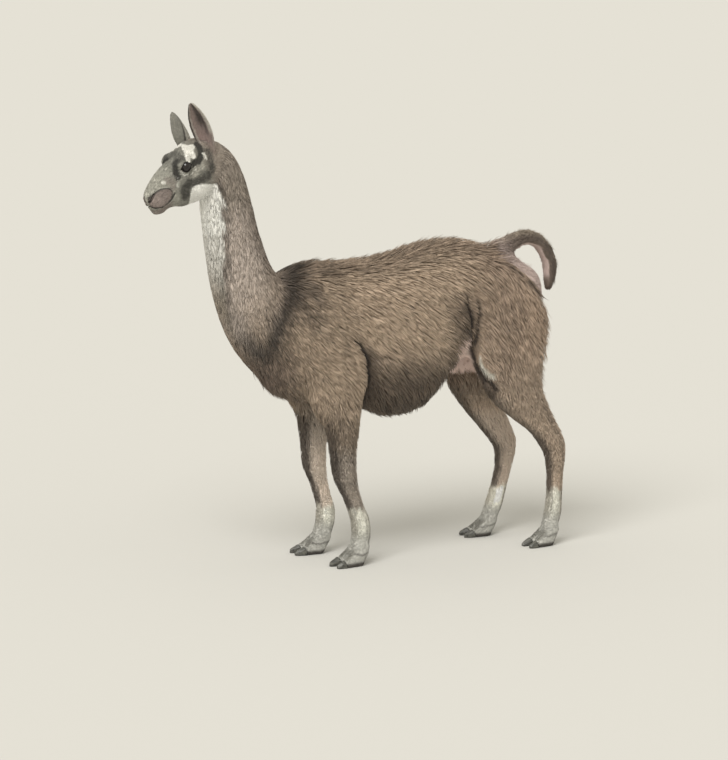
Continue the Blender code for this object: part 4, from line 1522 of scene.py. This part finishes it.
# The triangles of one tuft, facing outwards
def tuftTriangles(tuft, rings):
    found = [(0, 2, 1)]
    for k in range(rings - 1):
        for j in range(3):
            a, b = 3 * k + j, 3 * k + (j + 1) % 3
            found += [(a, b, b + 3), (a, b + 3, a + 3)]
    last = 3 * (rings - 1)
    found += [(last + j, last + (j + 1) % 3, 3 * rings) for j in range(3)]
    found = np.array(found)
    corners = tuft[found]
    volume = np.sum(np.cross(corners[:, 0], corners[:, 1]) * corners[:, 2])
    return found if volume > 0 else found[:, ::-1]


def tuftMesh(name, points, faces):
    mesh = bpy.data.meshes.new(name)
    mesh.vertices.add(points.shape[0] * points.shape[1])
    mesh.vertices.foreach_set("co", points.astype(np.float32).ravel())
    mesh.loops.add(len(faces) * 3)
    mesh.loops.foreach_set("vertex_index", faces.astype(np.int32).ravel())
    mesh.polygons.add(len(faces))
    mesh.polygons.foreach_set("loop_start", np.arange(len(faces), dtype=np.int32) * 3)
    mesh.polygons.foreach_set("use_smooth", np.ones(len(faces), bool))
    mesh.update(calc_edges=True)
    return mesh


# The bake map: each tuft is a small patch at its root's place on the unwrapped skin
def mapTufts(mesh, home, rings, faces):
    half = tuftLook["patch"] / 2
    shift = []
    for k in range(rings):
        y = half * (2 * k / rings - 1)
        shift += [(-half, y), (0, y + half / 4), (half, y)]
    shift = np.array(shift + [(0, half)])
    places = (home[:, None] + shift[None]).reshape(-1, 2)
    layer = mesh.uv_layers.new(name="OFBake")
    layer.data.foreach_set("uv", places[faces.ravel()].astype(np.float32).ravel())


# One coat piece of that many tufts, rooted in those triangles of the skin
def growCoat(name, faceIndexes, count, rings, random):
    corners = skinFaces[faceIndexes]
    chosen, weights = scatterRoots(corners, count, random)

    def bring(field):
        return np.einsum("ij,ij...->i...", weights, field[corners[chosen]])

    tufts = layTufts(bring, count, random)
    points = shapeTufts(tufts, rings)
    step = np.arange(count)[:, None, None] * points.shape[1]
    faces = (tuftTriangles(points[0], rings)[None] + step).reshape(-1, 3)
    mesh = tuftMesh(name, points, faces)
    setColours(mesh, shadeTufts(tufts, rings, count, random).reshape(-1, 3))
    home = np.einsum("ij,ijk->ik", weights, unwrapOf(faceIndexes)[chosen])
    mapTufts(mesh, home, rings, faces)
    return newPiece(name, mesh)


coatPlan = {
    # region: tufts, rings along each tuft
    "shoulderFleece": (12000, 3),
    "barrelFleece": (12000, 3),
    "haunchFleece": (12000, 3),
    "neckFleeceUpper": (7600, 3),
    "neckFleeceLower": (7600, 3),
    "faceCoat": (18300, 2),
    "earCoat": (5000, 2),
    "tailFleece": (3600, 3),
    "foreLegCoat": (17800, 2),
    "leftHindLegCoat": (10500, 2),
    "rightHindLegCoat": (10500, 2),
}


# The triangles that each coat piece grows from
def regionsOfSkin():
    faceOwner = np.array([groups[i] for i in owner[skinFaces[:, 0]]])
    middle = skinPoints[skinFaces].mean(axis=1)
    x, y, z = middle.T
    trunk = faceOwner == "trunk"
    leg = np.isin(faceOwner, ("armUpper", "thigh", "shank", "foot"))
    neck = faceOwner == "neck"
    return {
        "shoulderFleece": trunk & (y < -0.12),
        "barrelFleece": trunk & (y >= -0.12) & (y < 0.30),
        "haunchFleece": trunk & (y >= 0.30),
        "neckFleeceUpper": neck & (z > 1.22),
        "neckFleeceLower": neck & (z <= 1.22),
        "faceCoat": faceOwner == "head",
        "earCoat": faceOwner == "ear",
        "tailFleece": faceOwner == "tail",
        "foreLegCoat": leg & (y < 0.20),
        "leftHindLegCoat": leg & (y >= 0.20) & (x > 0),
        "rightHindLegCoat": leg & (y >= 0.20) & (x <= 0),
    }


# Takes its colour from the points of the mesh
def coatMaterial(name, roughness, **values):
    material, tree, shader = newMaterial(name, roughness=roughness, **values)
    colour = newNode(tree, "Attribute")
    colour.attribute_name = "coatColour"
    tree.links.new(colour.outputs["Color"], shader.inputs["Base Color"])
    return material, tree, shader


# Small bumps in a material, from the output of a pattern
def addBump(tree, shader, pattern, strength, distance):
    bump = newNode(tree, "Bump", Strength=strength, Distance=distance)
    tree.links.new(pattern, bump.inputs["Height"])
    tree.links.new(bump.outputs["Normal"], shader.inputs["Normal"])


def makeCoat():
    random = np.random.default_rng(tuftLook["seed"])
    fleece = coatMaterial("fleece", 0.75, shine=0.25, sheen=0.08, sheenRoughness=0.5)[0]
    for name, isIn in regionsOfSkin().items():
        count, rings = coatPlan[name]
        piece = growCoat(name, np.flatnonzero(isIn), count, rings, random)
        piece.data.materials.append(fleece)
        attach(piece, "root")
        print(name, len(piece.data.polygons), "triangles")


def skinMaterial():
    paint, tree, shader = coatMaterial("hairedSkin", 0.8, shine=0.25, sheenRoughness=0.5)
    place = newNode(tree, "TexCoord")
    hairs = newNode(tree, "TexNoise", Scale=skinLook["hairScale"], Detail=3.0)
    tree.links.new(place.outputs["Object"], hairs.inputs["Vector"])
    addBump(tree, shader, hairs.outputs["Fac"], *skinLook["hairBump"])
    return paint


makeCoat()
skin.data.materials.clear()
skin.data.materials.append(skinMaterial())
skin.data.polygons.foreach_set("use_smooth", np.ones(len(skin.data.polygons), bool))
skin.data.update()
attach(skin, "root")
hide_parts(*[name for name in nodes if not name.startswith(("eye", "nail"))])


# eyes: dark and glossy, with a level oval pupil

eyeLook = {
    "fit": 0.985,              # of the socket's radius
    "bulge": 0.0012,
    "bulgeEdge": (44, 10),     # where it starts and where it is full, in degrees from the middle
    "pupil": (19, 9),          # half width and half height in degrees
    "iris": 40,
    "pupilTone": tone(12, 10, 10),
    "irisTone": tone(30, 22, 18),
    "irisEdge": tone(13, 10, 9),
    "whiteTone": tone(30, 25, 23),
    "gloss": 0.10,
}


def makeEye(name, side):
    middle, way, noseward, up = eyeAxes(side)
    bpy.ops.object.select_all(action="DESELECT")
    bpy.ops.mesh.primitive_uv_sphere_add(segments=72, ring_count=60, radius=eyeRadius * eyeLook["fit"])
    eye = bpy.context.object
    eye.name = name
    ball = coordsOf(eye.data)
    tilt = np.degrees(np.arccos(np.clip(unit(ball)[:, 2], -1, 1)))
    ball = ball + unit(ball) * (eyeLook["bulge"] * smoothStep(*eyeLook["bulgeEdge"], tilt))[:, None]
    along = np.degrees(np.arctan2(ball[:, 0], ball[:, 2]))
    above = np.degrees(np.arctan2(ball[:, 1], ball[:, 2]))
    around = np.arctan2(ball[:, 1], ball[:, 0])
    streak = 0.75 + 0.5 * grain(np.stack([np.cos(around), np.sin(around), tilt / 90], axis=1) * 9, 1.0, 2)
    colour = eyeLook["irisTone"] * streak[:, None]
    colour = mixTone(colour, eyeLook["irisEdge"],
                     smoothStep(eyeLook["iris"] - 12, eyeLook["iris"] - 2, tilt))
    colour = mixTone(colour, eyeLook["whiteTone"], smoothStep(eyeLook["iris"], eyeLook["iris"] + 4, tilt))
    wide, high = eyeLook["pupil"]
    pupil = smoothStep(1.12, 0.92, np.hypot(along / wide, above / high)) * (tilt < 60)
    colour = mixTone(colour, eyeLook["pupilTone"], pupil)
    inHead = middle + ball[:, :1] * noseward + ball[:, 1:2] * up + ball[:, 2:] * way
    eye.data.vertices.foreach_set("co", fromHead(inHead).astype(np.float32).ravel())
    turnOutwards(eye)
    bpy.ops.object.shade_smooth()
    setColours(eye.data, colour)
    return eye


def makeEyes():
    paint = coatMaterial("wetEye", eyeLook["gloss"], shine=0.45, sheenRoughness=0.5, coat=0.20,
                         coatRoughness=0.03)[0]
    for name, side, node in (("leftEye", 1, "eye_left"), ("rightEye", -1, "eye_right")):
        eye = makeEye(name, side)
        eye.data.materials.append(paint)
        applyPlace(eye)
        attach(eye, "root")
        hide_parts(node)


makeEyes()
print("eyes are in")


# nails: the hard grey tips of the eight toes

nailLook = {
    "voxel": 0.0016,
    "softening": 10,
    "dark": tone(50, 50, 48),
    "light": tone(100, 99, 92),
    "gloss": 0.42,
    "streaks": (420, 30, 110),    # how fine they are across, along and up the toe
    "bump": (0.35, 0.0006),
}


def nailMaterial():
    paint, tree, shader = newMaterial("nailHorn", roughness=nailLook["gloss"])
    place = newNode(tree, "TexCoord")
    stretch = newNode(tree, "Mapping", Scale=nailLook["streaks"])
    streaks = newNode(tree, "TexNoise", Scale=1.0, Detail=4.0)
    ramp = newNode(tree, "ValToRGB")
    for end, position, colour in zip(ramp.color_ramp.elements, (0.35, 0.68), ("dark", "light")):
        end.position = position
        end.color = (*nailLook[colour], 1)
    tree.links.new(place.outputs["Object"], stretch.inputs["Vector"])
    tree.links.new(stretch.outputs["Vector"], streaks.inputs["Vector"])
    tree.links.new(streaks.outputs["Fac"], ramp.inputs["Fac"])
    tree.links.new(ramp.outputs["Color"], shader.inputs["Base Color"])
    addBump(tree, shader, streaks.outputs["Fac"], *nailLook["bump"])
    return paint


def makeNails():
    horn = nailMaterial()
    for foot in ("fore_left", "fore_right", "hind_left", "hind_right"):
        wanted = nodesWith("nail_" + foot)
        nails = mergedCopy("nails_" + foot, wanted)
        addModifier(nails, "REMESH", mode="VOXEL", voxel_size=nailLook["voxel"])
        addModifier(nails, "SMOOTH", factor=0.5, iterations=nailLook["softening"])
        applyModifiers(nails)
        bpy.ops.object.shade_smooth()
        nails.data.materials.append(horn)
        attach(nails, "root")
        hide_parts(*wanted)


makeNails()
print("nails are on")
